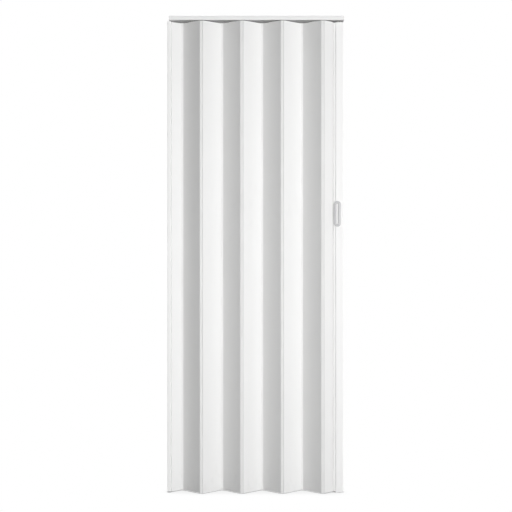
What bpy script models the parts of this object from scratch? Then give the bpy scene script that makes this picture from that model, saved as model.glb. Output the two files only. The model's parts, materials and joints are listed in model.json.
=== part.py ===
"""Accordion door: a curtain of hollow slats on hinge strips, hung from an overhead track.

Metres, +Z up, front towards -Y. The origin is the middle of the track's top face.
The curtain is a chain: each slat turns on the strip before it, and the strips stay
parallel to the track, so the whole door folds when REST_ANGLE changes.
"""
import math

import bmesh
import bpy
from mathutils import Matrix

# Whole door
DOOR_HEIGHT = 2.032        # top of the track to the foot of the lead post
FULL_PANELS = 7            # full slats, between a half slat at each end
REST_ANGLE = 38.0          # degrees between a slat and the track, door closed
FOLDED_ANGLE = 84.0        # the same, door stacked open
CLEARANCE = 0.0003         # gap between pieces that touch

# Slats
PANEL_SPAN = 0.094         # pivot to pivot across a full slat
PANEL_THICKNESS = 0.0058
PANEL_SKIN = 0.001
CHAMBERS = 3               # hollow cells across a slat, an odd number
PANEL_TOP_GAP = 0.002      # track to slat tops
PANEL_FOOT_GAP = 0.003     # slat feet above the lead post's foot

# Hinge strips
HINGE_SPAN = 0.012         # bead to bead
BEAD_RADIUS = 0.0015
NECK_THICKNESS = 0.0011
CORE_DEPTH = 0.0048
CORE_GAP = 0.0006          # strip core to slat socket
CORE_ROUND = 0.0008
LEAD_CORE_DEPTH = 0.013    # hollow core of the strip before the lead post
LEAD_CORE_WALL = 0.0015
POST_FOOT_WIDTH = 0.008    # T-shaped foot of the strips that join the posts
POST_FOOT_THICKNESS = 0.0017

# Overhead track
TRACK_DEPTH = 0.068
TRACK_HEIGHT = 0.017
TRACK_WALL = 0.002
TRACK_ROUND = 0.0012
CHANNEL_WIDTH = 0.0146     # inside, where the glide heads run
SLOT_WIDTH = 0.006
TRACK_SETBACK = 0.009      # track end inside the wall post's wall face
TRACK_OVERRUN = 0.0025     # track end beyond the lead post
TRACK_HOLES = 4
TRACK_HOLE_INSET = 0.06
FIXING_HOLE_RADIUS = 0.00225
COUNTERSINK = 0.0015       # depth and widening of a countersunk hole
STOP_LENGTH = 0.006

# Glides
GLIDE_PLAY = 0.001         # sideways play of neck and head in the track
GLIDE_HEAD = 0.003
GLIDE_CHAMFER = 0.0008
GLIDE_PLUG_DEPTH = 0.025
COLLAR_THICKNESS = 0.001
LEAD_GLIDE_RADIUS = 0.003
LEAD_GLIDE_PLUG = 0.012
LEAD_GLIDE_SPACING = 0.0118
LEAD_HEAD_RADIUS = 0.005
STOP_GAP = 0.0005          # outer stud to the track's stop, door closed

# Posts
POST_DEPTH = 0.018
POST_WALL = 0.002
POST_ROUND = 0.002
WALL_REACH = 0.0037        # wall post's face to the first pivot
LEAD_REACH = 0.0127        # last pivot to the lead post's face
BOSS_WALL = 0.0015         # wall behind slots
WALL_POST_WIDTH = 0.015
WALL_STRIP_THICKNESS = 0.004
WALL_STRIP_HOLES = 6
WALL_STRIP_HOLE_INSET = 0.1
SNAP_RIDGE = 0.0008        # ridge on the post that clips into the wall strip
SNAP_WIDTH = 0.001
LEAD_POST_WIDTH = 0.032
LEAD_TOP_GAP = 0.004       # track to the lead post's cap
CAP_THICKNESS = 0.002
CAP_PLUG = 0.018
MAGNET_WIDTH = 0.008
MAGNET_THICKNESS = 0.0017

# Ring pulls
HANDLE_HEIGHT = 1.191      # centre above the foot
HANDLE_OFFSET = 0.008      # centre from the lead post's inner edge
HANDLE_LENGTH = 0.110
HANDLE_WIDTH = 0.031
HANDLE_THICKNESS = 0.004
HANDLE_END = 0.0125        # end of the grip slot to the end of the pull
GRIP_WIDTH = 0.0075
OUTER_ROUND = 0.003
GRIP_ROUND = 0.0025
SCREW_RADIUS = 0.0015
SCREW_HEAD_RADIUS = 0.0028
SCREW_HEAD = 0.0016
SCREW_BITE = 0.0025        # thread length in the front pull
SCREW_DRIVE = 0.0012       # radius of the drive recess
SCREW_DRIVE_DEPTH = 0.001

# Facets
SOCKET_STEPS = 14
RIM_STEPS = 5
BEAD_STEPS = 12
CORNER_STEPS = 3
TURN_STEPS = 24
PULL_STEPS = 12            # steps round each end of a ring pull
FILL_SCALE = 1000.0        # outlines are filled at this scale, where a step is about 1
CUT_MARGIN = 0.002         # how far a cutter reaches past the face it opens

# Derived sizes
PANEL_COUNT = FULL_PANELS + 2
HALF_SPAN = PANEL_SPAN / 2
HALF_THICKNESS = PANEL_THICKNESS / 2
SOCKET_RADIUS = BEAD_RADIUS + CLEARANCE
NECK_ROOM = math.degrees(math.asin((NECK_THICKNESS / 2 + CLEARANCE) / SOCKET_RADIUS))
SOCKET_FROM = 180 - FOLDED_ANGLE - NECK_ROOM
SOCKET_TO = 180 - REST_ANGLE + NECK_ROOM
CHAMBER_START = HALF_THICKNESS + PANEL_SKIN

FOLD_PITCH = PANEL_SPAN * math.cos(math.radians(REST_ANGLE)) + HINGE_SPAN
CURTAIN_LENGTH = (FULL_PANELS + 1) * FOLD_PITCH
DOOR_WIDTH = WALL_POST_WIDTH + WALL_REACH + CURTAIN_LENGTH + LEAD_REACH + LEAD_POST_WIDTH
TRACK_LENGTH = DOOR_WIDTH + TRACK_OVERRUN - TRACK_SETBACK
WALL_X = -TRACK_LENGTH / 2 - TRACK_SETBACK
WALL_PIVOT_X = WALL_X + WALL_POST_WIDTH + WALL_REACH

PANEL_TOP = -TRACK_HEIGHT - PANEL_TOP_GAP
WALL_TOP = -TRACK_HEIGHT - CLEARANCE
FOOT = -DOOR_HEIGHT
PANEL_FOOT = FOOT + PANEL_FOOT_GAP
LEAD_CAP_TOP = -TRACK_HEIGHT - LEAD_TOP_GAP
LEAD_TOP = LEAD_CAP_TOP - CAP_THICKNESS - CLEARANCE
LEAD_FOOT = FOOT + CAP_THICKNESS + CLEARANCE

LIP_TOP = -TRACK_HEIGHT + TRACK_WALL
HEAD_FOOT = LIP_TOP + CLEARANCE
HEAD_RADIUS = CHANNEL_WIDTH / 2 - GLIDE_PLAY
GLIDE_NECK_RADIUS = SLOT_WIDTH / 2 - GLIDE_PLAY
LEAD_GLIDE_INSET = STOP_LENGTH - TRACK_OVERRUN + STOP_GAP + LEAD_HEAD_RADIUS

POST_HALF = POST_DEPTH / 2
POST_INNER = POST_HALF - POST_WALL
SLOT_HALF = NECK_THICKNESS / 2 + CLEARANCE
FOOT_HALF = POST_FOOT_WIDTH / 2 + CLEARANCE
FOOT_ROOM = POST_FOOT_THICKNESS + 2 * CLEARANCE
BOSS_HALF = FOOT_HALF + BOSS_WALL
BOSS_DEPTH = POST_WALL + FOOT_ROOM + BOSS_WALL
MAGNET_HALF = MAGNET_WIDTH / 2 + CLEARANCE
MAGNET_ROOM = MAGNET_THICKNESS + CLEARANCE
LEAD_LEFT = LEAD_REACH
LEAD_RIGHT = LEAD_LEFT + LEAD_POST_WIDTH
HANDLE_Z = FOOT + HANDLE_HEIGHT
HANDLE_X = LEAD_LEFT + HANDLE_OFFSET
GRIP_LENGTH = HANDLE_LENGTH - 2 * HANDLE_END
SCREW_OFFSET = (HANDLE_LENGTH - HANDLE_END) / 2
HANDLE_SEAT = POST_HALF + CLEARANCE
HEAD_SEAT = HANDLE_SEAT + HANDLE_THICKNESS - SCREW_HEAD - CLEARANCE

UPRIGHT = Matrix.Identity(4)
FACING_FRONT = Matrix.Rotation(math.radians(90), 4, "X")
ALONG_X = Matrix(((0, 0, 1, 0), (1, 0, 0, 0), (0, 1, 0, 0), (0, 0, 0, 1)))


def clear_scene():
    for item in list(bpy.data.objects):
        bpy.data.objects.remove(item, do_unlink=True)


def material(name, colour, roughness, metallic=0.0):
    made = bpy.data.materials.new(name)
    made.use_nodes = True
    shader = made.node_tree.nodes["Principled BSDF"]
    shader.inputs["Base Color"].default_value = (*colour, 1.0)
    shader.inputs["Roughness"].default_value = roughness
    shader.inputs["Metallic"].default_value = metallic
    return made


def add(name, mesh, finish, parent=None, location=(0, 0, 0), angle=0.0):
    """Place a mesh as a named object, turned about Z in its parent's frame."""
    item = bpy.data.objects.new(name, mesh)
    bpy.context.scene.collection.objects.link(item)
    if finish is not None and not mesh.materials:
        mesh.materials.append(finish)
    item.parent = parent
    item.location = location
    item.rotation_euler = (0, 0, math.radians(angle))
    return item


def combine(item, tool_mesh, operation, parent=None, location=(0, 0, 0)):
    """Cut or join a hidden tool shape that lies in the same frame as the item."""
    tool = add(f"{item.name}_tool", tool_mesh, None, parent, location, 0.0)
    tool.rotation_euler = item.rotation_euler
    tool.hide_render = True
    tool.display_type = "WIRE"
    step = item.modifiers.new(operation.lower(), "BOOLEAN")
    step.operation = operation
    step.solver = "EXACT"
    step.object = tool


def finished(bm, name, frame=UPRIGHT, smooth_angle=30.0):
    """Turn a bmesh into a mesh with outward faces, smooth on its round stretches."""
    bmesh.ops.transform(bm, matrix=frame, verts=bm.verts)
    bmesh.ops.recalc_face_normals(bm, faces=bm.faces)
    mesh = bpy.data.meshes.new(name)
    bm.to_mesh(mesh)
    bm.free()
    mesh.shade_smooth()
    mesh.set_sharp_from_angle(angle=math.radians(smooth_angle))
    return mesh


def arc(centre, radius, start, end, steps):
    """Points on an arc between two angles in degrees, both ends included."""
    angles = [math.radians(start + (end - start) * i / steps) for i in range(steps + 1)]
    return [(centre[0] + radius * math.cos(a), centre[1] + radius * math.sin(a)) for a in angles]


def corner(x, y, inward_x, inward_y, radius):
    """Rounded corner of an outline that runs anticlockwise round the corner point."""
    centre = (x + inward_x * radius, y + inward_y * radius)
    start = {(1, 1): 180, (-1, 1): 270, (-1, -1): 0, (1, -1): 90}[(inward_x, inward_y)]
    return arc(centre, radius, start, start + 90, CORNER_STEPS)


def box_outline(left, right, front, back, radius=0.0):
    """Rectangle, anticlockwise, with rounded corners where a radius is given."""
    places = ((left, front, 1, 1), (right, front, -1, 1), (right, back, -1, -1), (left, back, 1, -1))
    if not radius:
        return [(x, y) for x, y, _, _ in places]
    return [point for x, y, ix, iy in places for point in corner(x, y, ix, iy, radius)]


def mirrored(points, about_x=False):
    """Reflect an outline across the x axis, or across the y axis."""
    return [(-x, y) if about_x else (x, -y) for x, y in points]


def extruded(name, loops, bottom, top, frame=UPRIGHT):
    """Fill an outline with its holes and push it along the local z axis."""
    bm = bmesh.new()
    edges = []
    for loop in loops:
        verts = [bm.verts.new((x * FILL_SCALE, y * FILL_SCALE, 0)) for x, y in loop]
        edges += [bm.edges.new((verts[i - 1], verts[i])) for i in range(len(verts))]
    filled = bmesh.ops.triangle_fill(bm, use_beauty=True, edges=edges)
    faces = [part for part in filled["geom"] if isinstance(part, bmesh.types.BMFace)]
    bmesh.ops.scale(bm, vec=(1 / FILL_SCALE,) * 3, verts=bm.verts)
    bmesh.ops.translate(bm, vec=(0, 0, bottom), verts=bm.verts)
    raised = bmesh.ops.extrude_face_region(bm, geom=faces)
    verts = [part for part in raised["geom"] if isinstance(part, bmesh.types.BMVert)]
    bmesh.ops.translate(bm, vec=(0, 0, top - bottom), verts=verts)
    return finished(bm, name, frame)


def skinned(name, levels, ring=False, frame=UPRIGHT):
    """Skin a stack of (outline, height) levels, capped, or closed on itself as a ring."""
    bm = bmesh.new()
    rims = [[bm.verts.new((x, y, height)) for x, y in loop] for loop, height in levels]
    pairs = list(zip(rims, rims[1:]))
    if ring:
        pairs.append((rims[-1], rims[0]))
    else:
        bm.faces.new(rims[0])
        bm.faces.new(rims[-1])
    for lower, upper in pairs:
        for i in range(len(lower)):
            bm.faces.new((lower[i - 1], lower[i], upper[i], upper[i - 1]))
    return finished(bm, name, frame)


def turned(name, profiles, frame=UPRIGHT):
    """Spin (radius, height) profiles about z; each starts and ends on the axis.

    A profile comes with the (x, y) place of its axis, so one mesh can hold a row of them.
    """
    bm = bmesh.new()
    for (x, y), profile in profiles:
        verts = [bm.verts.new((x + r, y, z)) for r, z in profile]
        edges = [bm.edges.new(pair) for pair in zip(verts, verts[1:])]
        bmesh.ops.spin(bm, geom=verts + edges, cent=(x, y, 0), axis=(0, 0, 1),
                       angle=math.tau, steps=TURN_STEPS, use_merge=True)
    bmesh.ops.remove_doubles(bm, verts=bm.verts, dist=1e-6)
    return finished(bm, name, frame)


def evenly(first, last, count):
    """Evenly spaced places from first to last."""
    return [first + (last - first) * i / (count - 1) for i in range(count)]


def countersunk(start, end):
    """Cutter profile of a screw hole that widens towards its end."""
    wide = FIXING_HOLE_RADIUS + COUNTERSINK
    rise = math.copysign(1, end - start)
    below = start - rise * CUT_MARGIN
    above = end + rise * CUT_MARGIN
    return [(0, below), (FIXING_HOLE_RADIUS, below), (FIXING_HOLE_RADIUS, end - rise * COUNTERSINK),
            (wide, end), (wide, above), (0, above)]


def panel_loops(span):
    """Slat section from pivot to pivot: an open socket at each end, hollow cells between."""
    end = [(HALF_THICKNESS / math.tan(math.radians(SOCKET_FROM)), HALF_THICKNESS)]
    end += arc((0, 0), SOCKET_RADIUS, SOCKET_FROM, SOCKET_TO - 360, SOCKET_STEPS)
    end += arc((0, 0), HALF_THICKNESS, SOCKET_TO, 270, RIM_STEPS)
    outline = end + [(span - x, -y) for x, y in end]
    inner = HALF_THICKNESS - PANEL_SKIN
    width = chamber_width(span)
    starts = [CHAMBER_START + i * (width + PANEL_SKIN) for i in range(CHAMBERS)]
    return [outline] + [box_outline(x, x + width, -inner, inner) for x in starts]


def chamber_width(span):
    return (span - 2 * CHAMBER_START - (CHAMBERS - 1) * PANEL_SKIN) / CHAMBERS


def bead_outline(facing):
    """Round bead whose neck leaves along +x (facing 0) or -x (facing 180)."""
    neck = math.degrees(math.asin(NECK_THICKNESS / 2 / BEAD_RADIUS))
    return arc((0, 0), BEAD_RADIUS, facing + neck, facing + 360 - neck, BEAD_STEPS)


def core_sides(near, far, depth):
    """Front and back sides of a strip's core, each from neck to neck."""
    core = box_outline(near, far, -depth / 2, depth / 2, CORE_ROUND)
    half = NECK_THICKNESS / 2
    middle = len(core) // 2
    return [(near, -half)] + core[:middle] + [(far, -half)], [(far, half)] + core[middle:] + [(near, half)]


def hinge_loop():
    """Strip section: bead, neck, core, neck, bead, from the left bead's centre."""
    near = HALF_THICKNESS + CORE_GAP
    front, back = core_sides(near, HINGE_SPAN - near, CORE_DEPTH)
    right = [(x + HINGE_SPAN, y) for x, y in bead_outline(180)]
    return bead_outline(0) + front + right + back


def post_foot(reach):
    """T-shaped foot of a strip behind the face of a post that is some way along +x."""
    half = NECK_THICKNESS / 2
    seat = reach + POST_WALL + CLEARANCE
    foot = box_outline(seat, seat + POST_FOOT_THICKNESS, -POST_FOOT_WIDTH / 2, POST_FOOT_WIDTH / 2)
    return [(seat, -half)] + foot + [(seat, half)]


def wall_strip_loop():
    """Section of the wall post's strip: bead, neck, foot."""
    return bead_outline(0) + post_foot(WALL_REACH)


def lead_strip_loops():
    """Section of the lead post's strip: bead, neck, hollow core, neck, foot."""
    near = HALF_THICKNESS + CORE_GAP
    far = LEAD_REACH - CORE_GAP
    front, back = core_sides(near, far, LEAD_CORE_DEPTH)
    inner = LEAD_CORE_DEPTH / 2 - LEAD_CORE_WALL
    hollow = box_outline(near + LEAD_CORE_WALL, far - LEAD_CORE_WALL, -inner, inner)
    return [bead_outline(0) + front + post_foot(LEAD_REACH) + back, hollow]


def foot_slot(face):
    """T-slot in a post's face, from its back edge to its front edge, going in along +x."""
    inside = face + POST_WALL
    deep = inside + FOOT_ROOM
    half = [(face, SLOT_HALF), (inside, SLOT_HALF), (inside, FOOT_HALF), (deep, FOOT_HALF)]
    return half + mirrored(half)[::-1]


def build_track(pvc, nylon):
    """Chambered extrusion with a slotted channel, a row of screw holes in its web and a stop in each end."""
    half = TRACK_DEPTH / 2
    skirt = half - TRACK_WALL
    inner = CHANNEL_WIDTH / 2
    slot = SLOT_WIDTH / 2
    back = [(slot, -TRACK_HEIGHT)] + corner(half, -TRACK_HEIGHT, -1, 1, TRACK_ROUND)
    back += corner(half, 0, -1, -1, TRACK_ROUND)
    front = mirrored(back, about_x=True)[::-1]
    channel = [(-slot, LIP_TOP), (-inner, LIP_TOP), (-inner, -TRACK_WALL)]
    outline = back + front + channel + mirrored(channel, about_x=True)[::-1]
    chamber = box_outline(inner + TRACK_WALL, skirt, LIP_TOP, -TRACK_WALL)
    loops = [outline, chamber, mirrored(chamber, about_x=True)[::-1]]
    end = TRACK_LENGTH / 2
    track = add("top_track", extruded("top_track", loops, -end, end, ALONG_X), pvc)
    hole = countersunk(0, -TRACK_WALL)
    places = evenly(-end + TRACK_HOLE_INSET, end - TRACK_HOLE_INSET, TRACK_HOLES)
    combine(track, turned("track_holes", [((x, 0), hole) for x in places]), "DIFFERENCE")

    wide = inner - CLEARANCE
    stop = box_outline(-wide, wide, LIP_TOP + CLEARANCE, -TRACK_WALL - CLEARANCE)
    for name, start in (("track_stop_left", -end), ("track_stop_right", end - STOP_LENGTH)):
        add(name, extruded(name, [stop], start, start + STOP_LENGTH, ALONG_X), nylon)


def build_wall_end(pvc, soft):
    """Wall strip, the post that clips over it and the hinge strip in the post's T-slot."""
    left = WALL_X
    face = left + WALL_POST_WIDTH
    strip_right = left + WALL_STRIP_THICKNESS
    ridge_left = left + (WALL_STRIP_THICKNESS - SNAP_WIDTH) / 2
    ridge_right = ridge_left + SNAP_WIDTH
    ridge = POST_INNER - SNAP_RIDGE

    strip_half = POST_INNER - CLEARANCE
    groove = ridge - CLEARANCE
    groove_left = ridge_left - CLEARANCE
    groove_right = ridge_right + CLEARANCE
    edge = [(strip_right, strip_half), (groove_right, strip_half), (groove_right, groove),
            (groove_left, groove), (groove_left, strip_half), (left, strip_half)]
    strip_mesh = extruded("wall_strip", [edge + mirrored(edge)[::-1]], PANEL_FOOT, PANEL_TOP)
    strip = add("wall_strip", strip_mesh, pvc)
    hole = countersunk(left, strip_right)
    places = evenly(PANEL_FOOT + WALL_STRIP_HOLE_INSET, PANEL_TOP - WALL_STRIP_HOLE_INSET, WALL_STRIP_HOLES)
    cutter = turned("wall_strip_holes", [((0, z), hole) for z in places], ALONG_X)
    combine(strip, cutter, "DIFFERENCE")

    rim = left + CLEARANCE
    web = face - POST_WALL
    boss = face - BOSS_DEPTH
    slot = [(face - (x - face), y) for x, y in foot_slot(face)][::-1]
    half = corner(face, POST_HALF, -1, -1, POST_ROUND)
    half += [(rim, POST_HALF), (rim, POST_INNER), (ridge_left, POST_INNER), (ridge_left, ridge),
             (ridge_right, ridge), (ridge_right, POST_INNER), (web, POST_INNER), (web, BOSS_HALF),
             (boss, BOSS_HALF)]
    outline = slot + half + mirrored(half)[::-1]
    add("wall_post", extruded("wall_post", [outline], PANEL_FOOT, WALL_TOP), pvc)

    loop = mirrored(wall_strip_loop(), about_x=True)[::-1]
    mesh = extruded("wall_hinge_strip", [loop], PANEL_FOOT, PANEL_TOP)
    add("wall_hinge_strip", mesh, soft, location=(WALL_PIVOT_X, 0, 0))


def glide_profile(foot, radius):
    """Neck and round head of a glide that hangs in the track, from a height on its axis."""
    head_top = HEAD_FOOT + GLIDE_HEAD
    return [(0, foot), (GLIDE_NECK_RADIUS, foot), (GLIDE_NECK_RADIUS, HEAD_FOOT), (radius, HEAD_FOOT),
            (radius, head_top - GLIDE_CHAMFER), (radius - GLIDE_CHAMFER, head_top), (0, head_top)]


def build_glide(number, panel, nylon):
    """Hanger of a slat: a flat plug in its middle cell, a collar, and a head in the track."""
    reach = chamber_width(PANEL_SPAN) / 2 - CLEARANCE
    thick = HALF_THICKNESS - PANEL_SKIN - CLEARANCE
    rim = PANEL_SKIN
    plug = box_outline(-reach, reach, -thick, thick)
    collar = box_outline(-reach - rim, reach + rim, -thick - rim, thick + rim)
    seat = PANEL_TOP + CLEARANCE
    top = seat + COLLAR_THICKNESS
    levels = [(plug, PANEL_TOP - GLIDE_PLUG_DEPTH), (plug, seat), (collar, seat), (collar, top)]
    name = f"glide_{number}"
    place = (HALF_SPAN, 0, 0)
    glide = add(name, skinned(name, levels), nylon, panel, place)
    head = turned(f"{name}_head", [((0, 0), glide_profile(seat + COLLAR_THICKNESS / 2, HEAD_RADIUS))])
    combine(glide, head, "UNION", panel, place)


def build_curtain(pvc, soft, nylon):
    """Slats and strips, each parented to the one before it; returns the last slat."""
    strip_mesh = extruded("hinge_strip", [hinge_loop()], PANEL_FOOT, PANEL_TOP)
    meshes = {}
    parent = None
    pivot = (WALL_PIVOT_X, 0, 0)
    for number in range(1, PANEL_COUNT + 1):
        side = 1 if number % 2 else -1
        span = HALF_SPAN if number in (1, PANEL_COUNT) else PANEL_SPAN
        if (span, side) not in meshes:
            loops = panel_loops(span)
            if side < 0:
                loops = [mirrored(loop) for loop in loops]
            meshes[(span, side)] = extruded("slat", loops, PANEL_FOOT, PANEL_TOP)
        panel = add(f"panel_{number}", meshes[(span, side)], pvc, parent, pivot, side * REST_ANGLE)
        if side < 0:
            build_glide(number, panel, nylon)
        if number < PANEL_COUNT:
            parent = add(f"hinge_{number}", strip_mesh, soft, panel, (span, 0, 0), -side * REST_ANGLE)
            pivot = (HINGE_SPAN, 0, 0)
    return panel


def lead_post_loops():
    """Hollow section from the lead pivot: T-slot and magnet seat, with the core hole."""
    seat = LEAD_RIGHT - MAGNET_ROOM
    half = [(seat, MAGNET_HALF), (LEAD_RIGHT, MAGNET_HALF)]
    half += corner(LEAD_RIGHT, POST_HALF, -1, -1, POST_ROUND)
    half += corner(LEAD_LEFT, POST_HALF, 1, -1, POST_ROUND)
    outline = half + foot_slot(LEAD_LEFT) + mirrored(half)[::-1]

    web = LEAD_LEFT + POST_WALL
    closing = LEAD_RIGHT - POST_WALL
    magnet = MAGNET_HALF + BOSS_WALL
    core = [(seat - BOSS_WALL, magnet), (closing, magnet), (closing, POST_INNER), (web, POST_INNER),
            (web, BOSS_HALF), (LEAD_LEFT + BOSS_DEPTH, BOSS_HALF)]
    return [outline, core + mirrored(core)[::-1]]


def build_caps(post, pvc, nylon):
    """End plugs of the lead post; the top one carries two hanger studs."""
    plate = box_outline(LEAD_LEFT, LEAD_RIGHT, -POST_HALF, POST_HALF, POST_ROUND)
    left = LEAD_LEFT + BOSS_DEPTH + CLEARANCE
    right = LEAD_RIGHT - MAGNET_ROOM - BOSS_WALL - CLEARANCE
    reach = POST_INNER - CLEARANCE
    plug = box_outline(left, right, -reach, reach, POST_ROUND)
    top_levels = [(plug, LEAD_TOP - CAP_PLUG), (plug, LEAD_CAP_TOP - CAP_THICKNESS),
                  (plate, LEAD_CAP_TOP - CAP_THICKNESS), (plate, LEAD_CAP_TOP)]
    foot_levels = [(plate, FOOT), (plate, FOOT + CAP_THICKNESS), (plug, FOOT + CAP_THICKNESS),
                   (plug, LEAD_FOOT + CAP_PLUG)]
    top = add("lead_post_top_cap", skinned("lead_post_top_cap", top_levels), pvc, post)
    add("lead_post_bottom_cap", skinned("lead_post_bottom_cap", foot_levels), pvc, post)

    hole = LEAD_GLIDE_RADIUS + CLEARANCE
    depth = LEAD_CAP_TOP - LEAD_GLIDE_PLUG
    floor = depth - CLEARANCE
    mouth = LEAD_CAP_TOP + CUT_MARGIN
    bore = [(0, floor), (hole, floor), (hole, mouth), (0, mouth)]
    outer_x = LEAD_RIGHT - LEAD_GLIDE_INSET
    studs = (("lead_glide_inner", outer_x - LEAD_GLIDE_SPACING), ("lead_glide_outer", outer_x))
    combine(top, turned("cap_bores", [((x, 0), bore) for _, x in studs]), "DIFFERENCE", post)

    flange = LEAD_CAP_TOP + CLEARANCE
    rim = LEAD_GLIDE_RADIUS + GLIDE_NECK_RADIUS
    stud = [(0, depth), (LEAD_GLIDE_RADIUS, depth), (LEAD_GLIDE_RADIUS, flange), (rim, flange)]
    stud += [(rim, flange + COLLAR_THICKNESS)] + glide_profile(flange + COLLAR_THICKNESS, LEAD_HEAD_RADIUS)[1:]
    for name, x in studs:
        add(name, turned(name, [((0, 0), stud)]), nylon, post, (x, 0, 0))


def capsule(width, length, inset):
    """Outline with round ends, upright, smaller all round by an inset."""
    radius = width / 2 - inset
    rise = (length - width) / 2
    return arc((0, rise), radius, 0, 180, PULL_STEPS) + arc((0, -rise), radius, 180, 360, PULL_STEPS)


def pull_levels():
    """Section of a ring pull, from its seat up the outside, over the crown and down the grip slot."""
    outside = [(0, 0)] + [(OUTER_ROUND - x, HANDLE_THICKNESS - OUTER_ROUND + y)
                          for x, y in arc((0, 0), OUTER_ROUND, 0, 90, CORNER_STEPS)]
    inside = [(GRIP_ROUND - x, HANDLE_THICKNESS - GRIP_ROUND + y)
              for x, y in arc((0, 0), GRIP_ROUND, 90, 0, CORNER_STEPS)] + [(0, 0)]
    levels = [(capsule(HANDLE_WIDTH, HANDLE_LENGTH, inset), height) for inset, height in outside]
    return levels + [(capsule(GRIP_WIDTH, GRIP_LENGTH, -inset), height) for inset, height in inside]


def build_pulls(post, satin, steel):
    """A ring pull on each face of the lead post, joined by two screws through the post."""
    seat = SCREW_RADIUS + CLEARANCE
    head_room = SCREW_HEAD_RADIUS + CLEARANCE
    bite_end = HANDLE_SEAT + SCREW_BITE
    heights = (-SCREW_OFFSET, SCREW_OFFSET)

    levels = pull_levels()
    front = add("handle_front", skinned("handle_front", levels, True, FACING_FRONT), satin, post,
                (HANDLE_X, -HANDLE_SEAT, HANDLE_Z))
    depth = SCREW_BITE + CLEARANCE
    blind = [(0, -CUT_MARGIN), (seat, -CUT_MARGIN), (seat, depth), (0, depth)]
    bores = turned("pull_bores", [((0, z), blind) for z in heights], FACING_FRONT)
    combine(front, bores, "DIFFERENCE", post, (HANDLE_X, -HANDLE_SEAT, HANDLE_Z))

    back = add("handle_back", skinned("handle_back", levels, True, FACING_FRONT), satin, post,
               (HANDLE_X, HANDLE_SEAT, HANDLE_Z), 180)
    ledge = HEAD_SEAT - HANDLE_SEAT - CLEARANCE
    mouth = HANDLE_THICKNESS + CUT_MARGIN
    stepped = [(0, -CUT_MARGIN), (seat, -CUT_MARGIN), (seat, ledge), (head_room, ledge),
               (head_room, mouth), (0, mouth)]
    sinks = turned("pull_sinks", [((0, z), stepped) for z in heights], FACING_FRONT)
    combine(back, sinks, "DIFFERENCE", post, (HANDLE_X, HANDLE_SEAT, HANDLE_Z))

    through = [(0, -POST_DEPTH), (seat, -POST_DEPTH), (seat, POST_DEPTH), (0, POST_DEPTH)]
    places = [((HANDLE_X, HANDLE_Z + z), through) for z in heights]
    post_holes = turned("post_holes", places, FACING_FRONT)
    combine(post, post_holes, "DIFFERENCE", post.parent, post.location)

    head = HEAD_SEAT + SCREW_HEAD
    recess = head - SCREW_DRIVE_DEPTH
    screw = [(0, -bite_end), (SCREW_RADIUS, -bite_end), (SCREW_RADIUS, HEAD_SEAT),
             (SCREW_HEAD_RADIUS, HEAD_SEAT), (SCREW_HEAD_RADIUS, head), (SCREW_DRIVE, head),
             (SCREW_DRIVE, recess), (0, recess)]
    screw_mesh = turned("handle_screw", [((0, 0), [(r, -y) for r, y in screw])], FACING_FRONT)
    for name, z in (("handle_screw_lower", -SCREW_OFFSET), ("handle_screw_upper", SCREW_OFFSET)):
        add(name, screw_mesh, steel, post, (HANDLE_X, 0, HANDLE_Z + z))


def build_lead_end(last_panel, pvc, soft, nylon, satin, steel, magnet):
    """Lead post and all that travels with it; its origin is the last slat's pivot."""
    turn = -REST_ANGLE if PANEL_COUNT % 2 else REST_ANGLE
    post = add("lead_post", extruded("lead_post", lead_post_loops(), LEAD_FOOT, LEAD_TOP), pvc,
               last_panel, (HALF_SPAN, 0, 0), turn)
    mesh = extruded("lead_hinge_strip", lead_strip_loops(), PANEL_FOOT, LEAD_TOP)
    add("lead_hinge_strip", mesh, soft, post)
    half = MAGNET_WIDTH / 2
    outline = box_outline(LEAD_RIGHT - MAGNET_THICKNESS, LEAD_RIGHT, -half, half)
    add("magnet_strip", extruded("magnet_strip", [outline], LEAD_FOOT, LEAD_TOP), magnet, post)
    build_caps(post, pvc, nylon)
    build_pulls(post, satin, steel)


def build_door():
    clear_scene()
    pvc = material("white_pvc", (0.83, 0.83, 0.83), 0.42)
    soft = material("flexible_pvc", (0.81, 0.81, 0.81), 0.5)
    nylon = material("white_nylon", (0.78, 0.78, 0.76), 0.4)
    satin = material("satin_grey", (0.56, 0.56, 0.57), 0.35)
    steel = material("zinc_steel", (0.62, 0.62, 0.63), 0.3, 1.0)
    magnet = material("magnet_rubber", (0.08, 0.08, 0.08), 0.7)
    build_track(pvc, nylon)
    build_wall_end(pvc, soft)
    last_panel = build_curtain(pvc, soft, nylon)
    build_lead_end(last_panel, pvc, soft, nylon, satin, steel, magnet)
    bpy.context.view_layer.update()


build_door()
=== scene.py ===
"""Accordion door: the finished look of every piece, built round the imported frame."""
import json
import math

import bmesh
import bpy
from bpy.props import FloatProperty, FloatVectorProperty, IntProperty, PointerProperty
from bpy.types import Operator, Panel, PropertyGroup
from mathutils import Matrix, Vector


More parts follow.
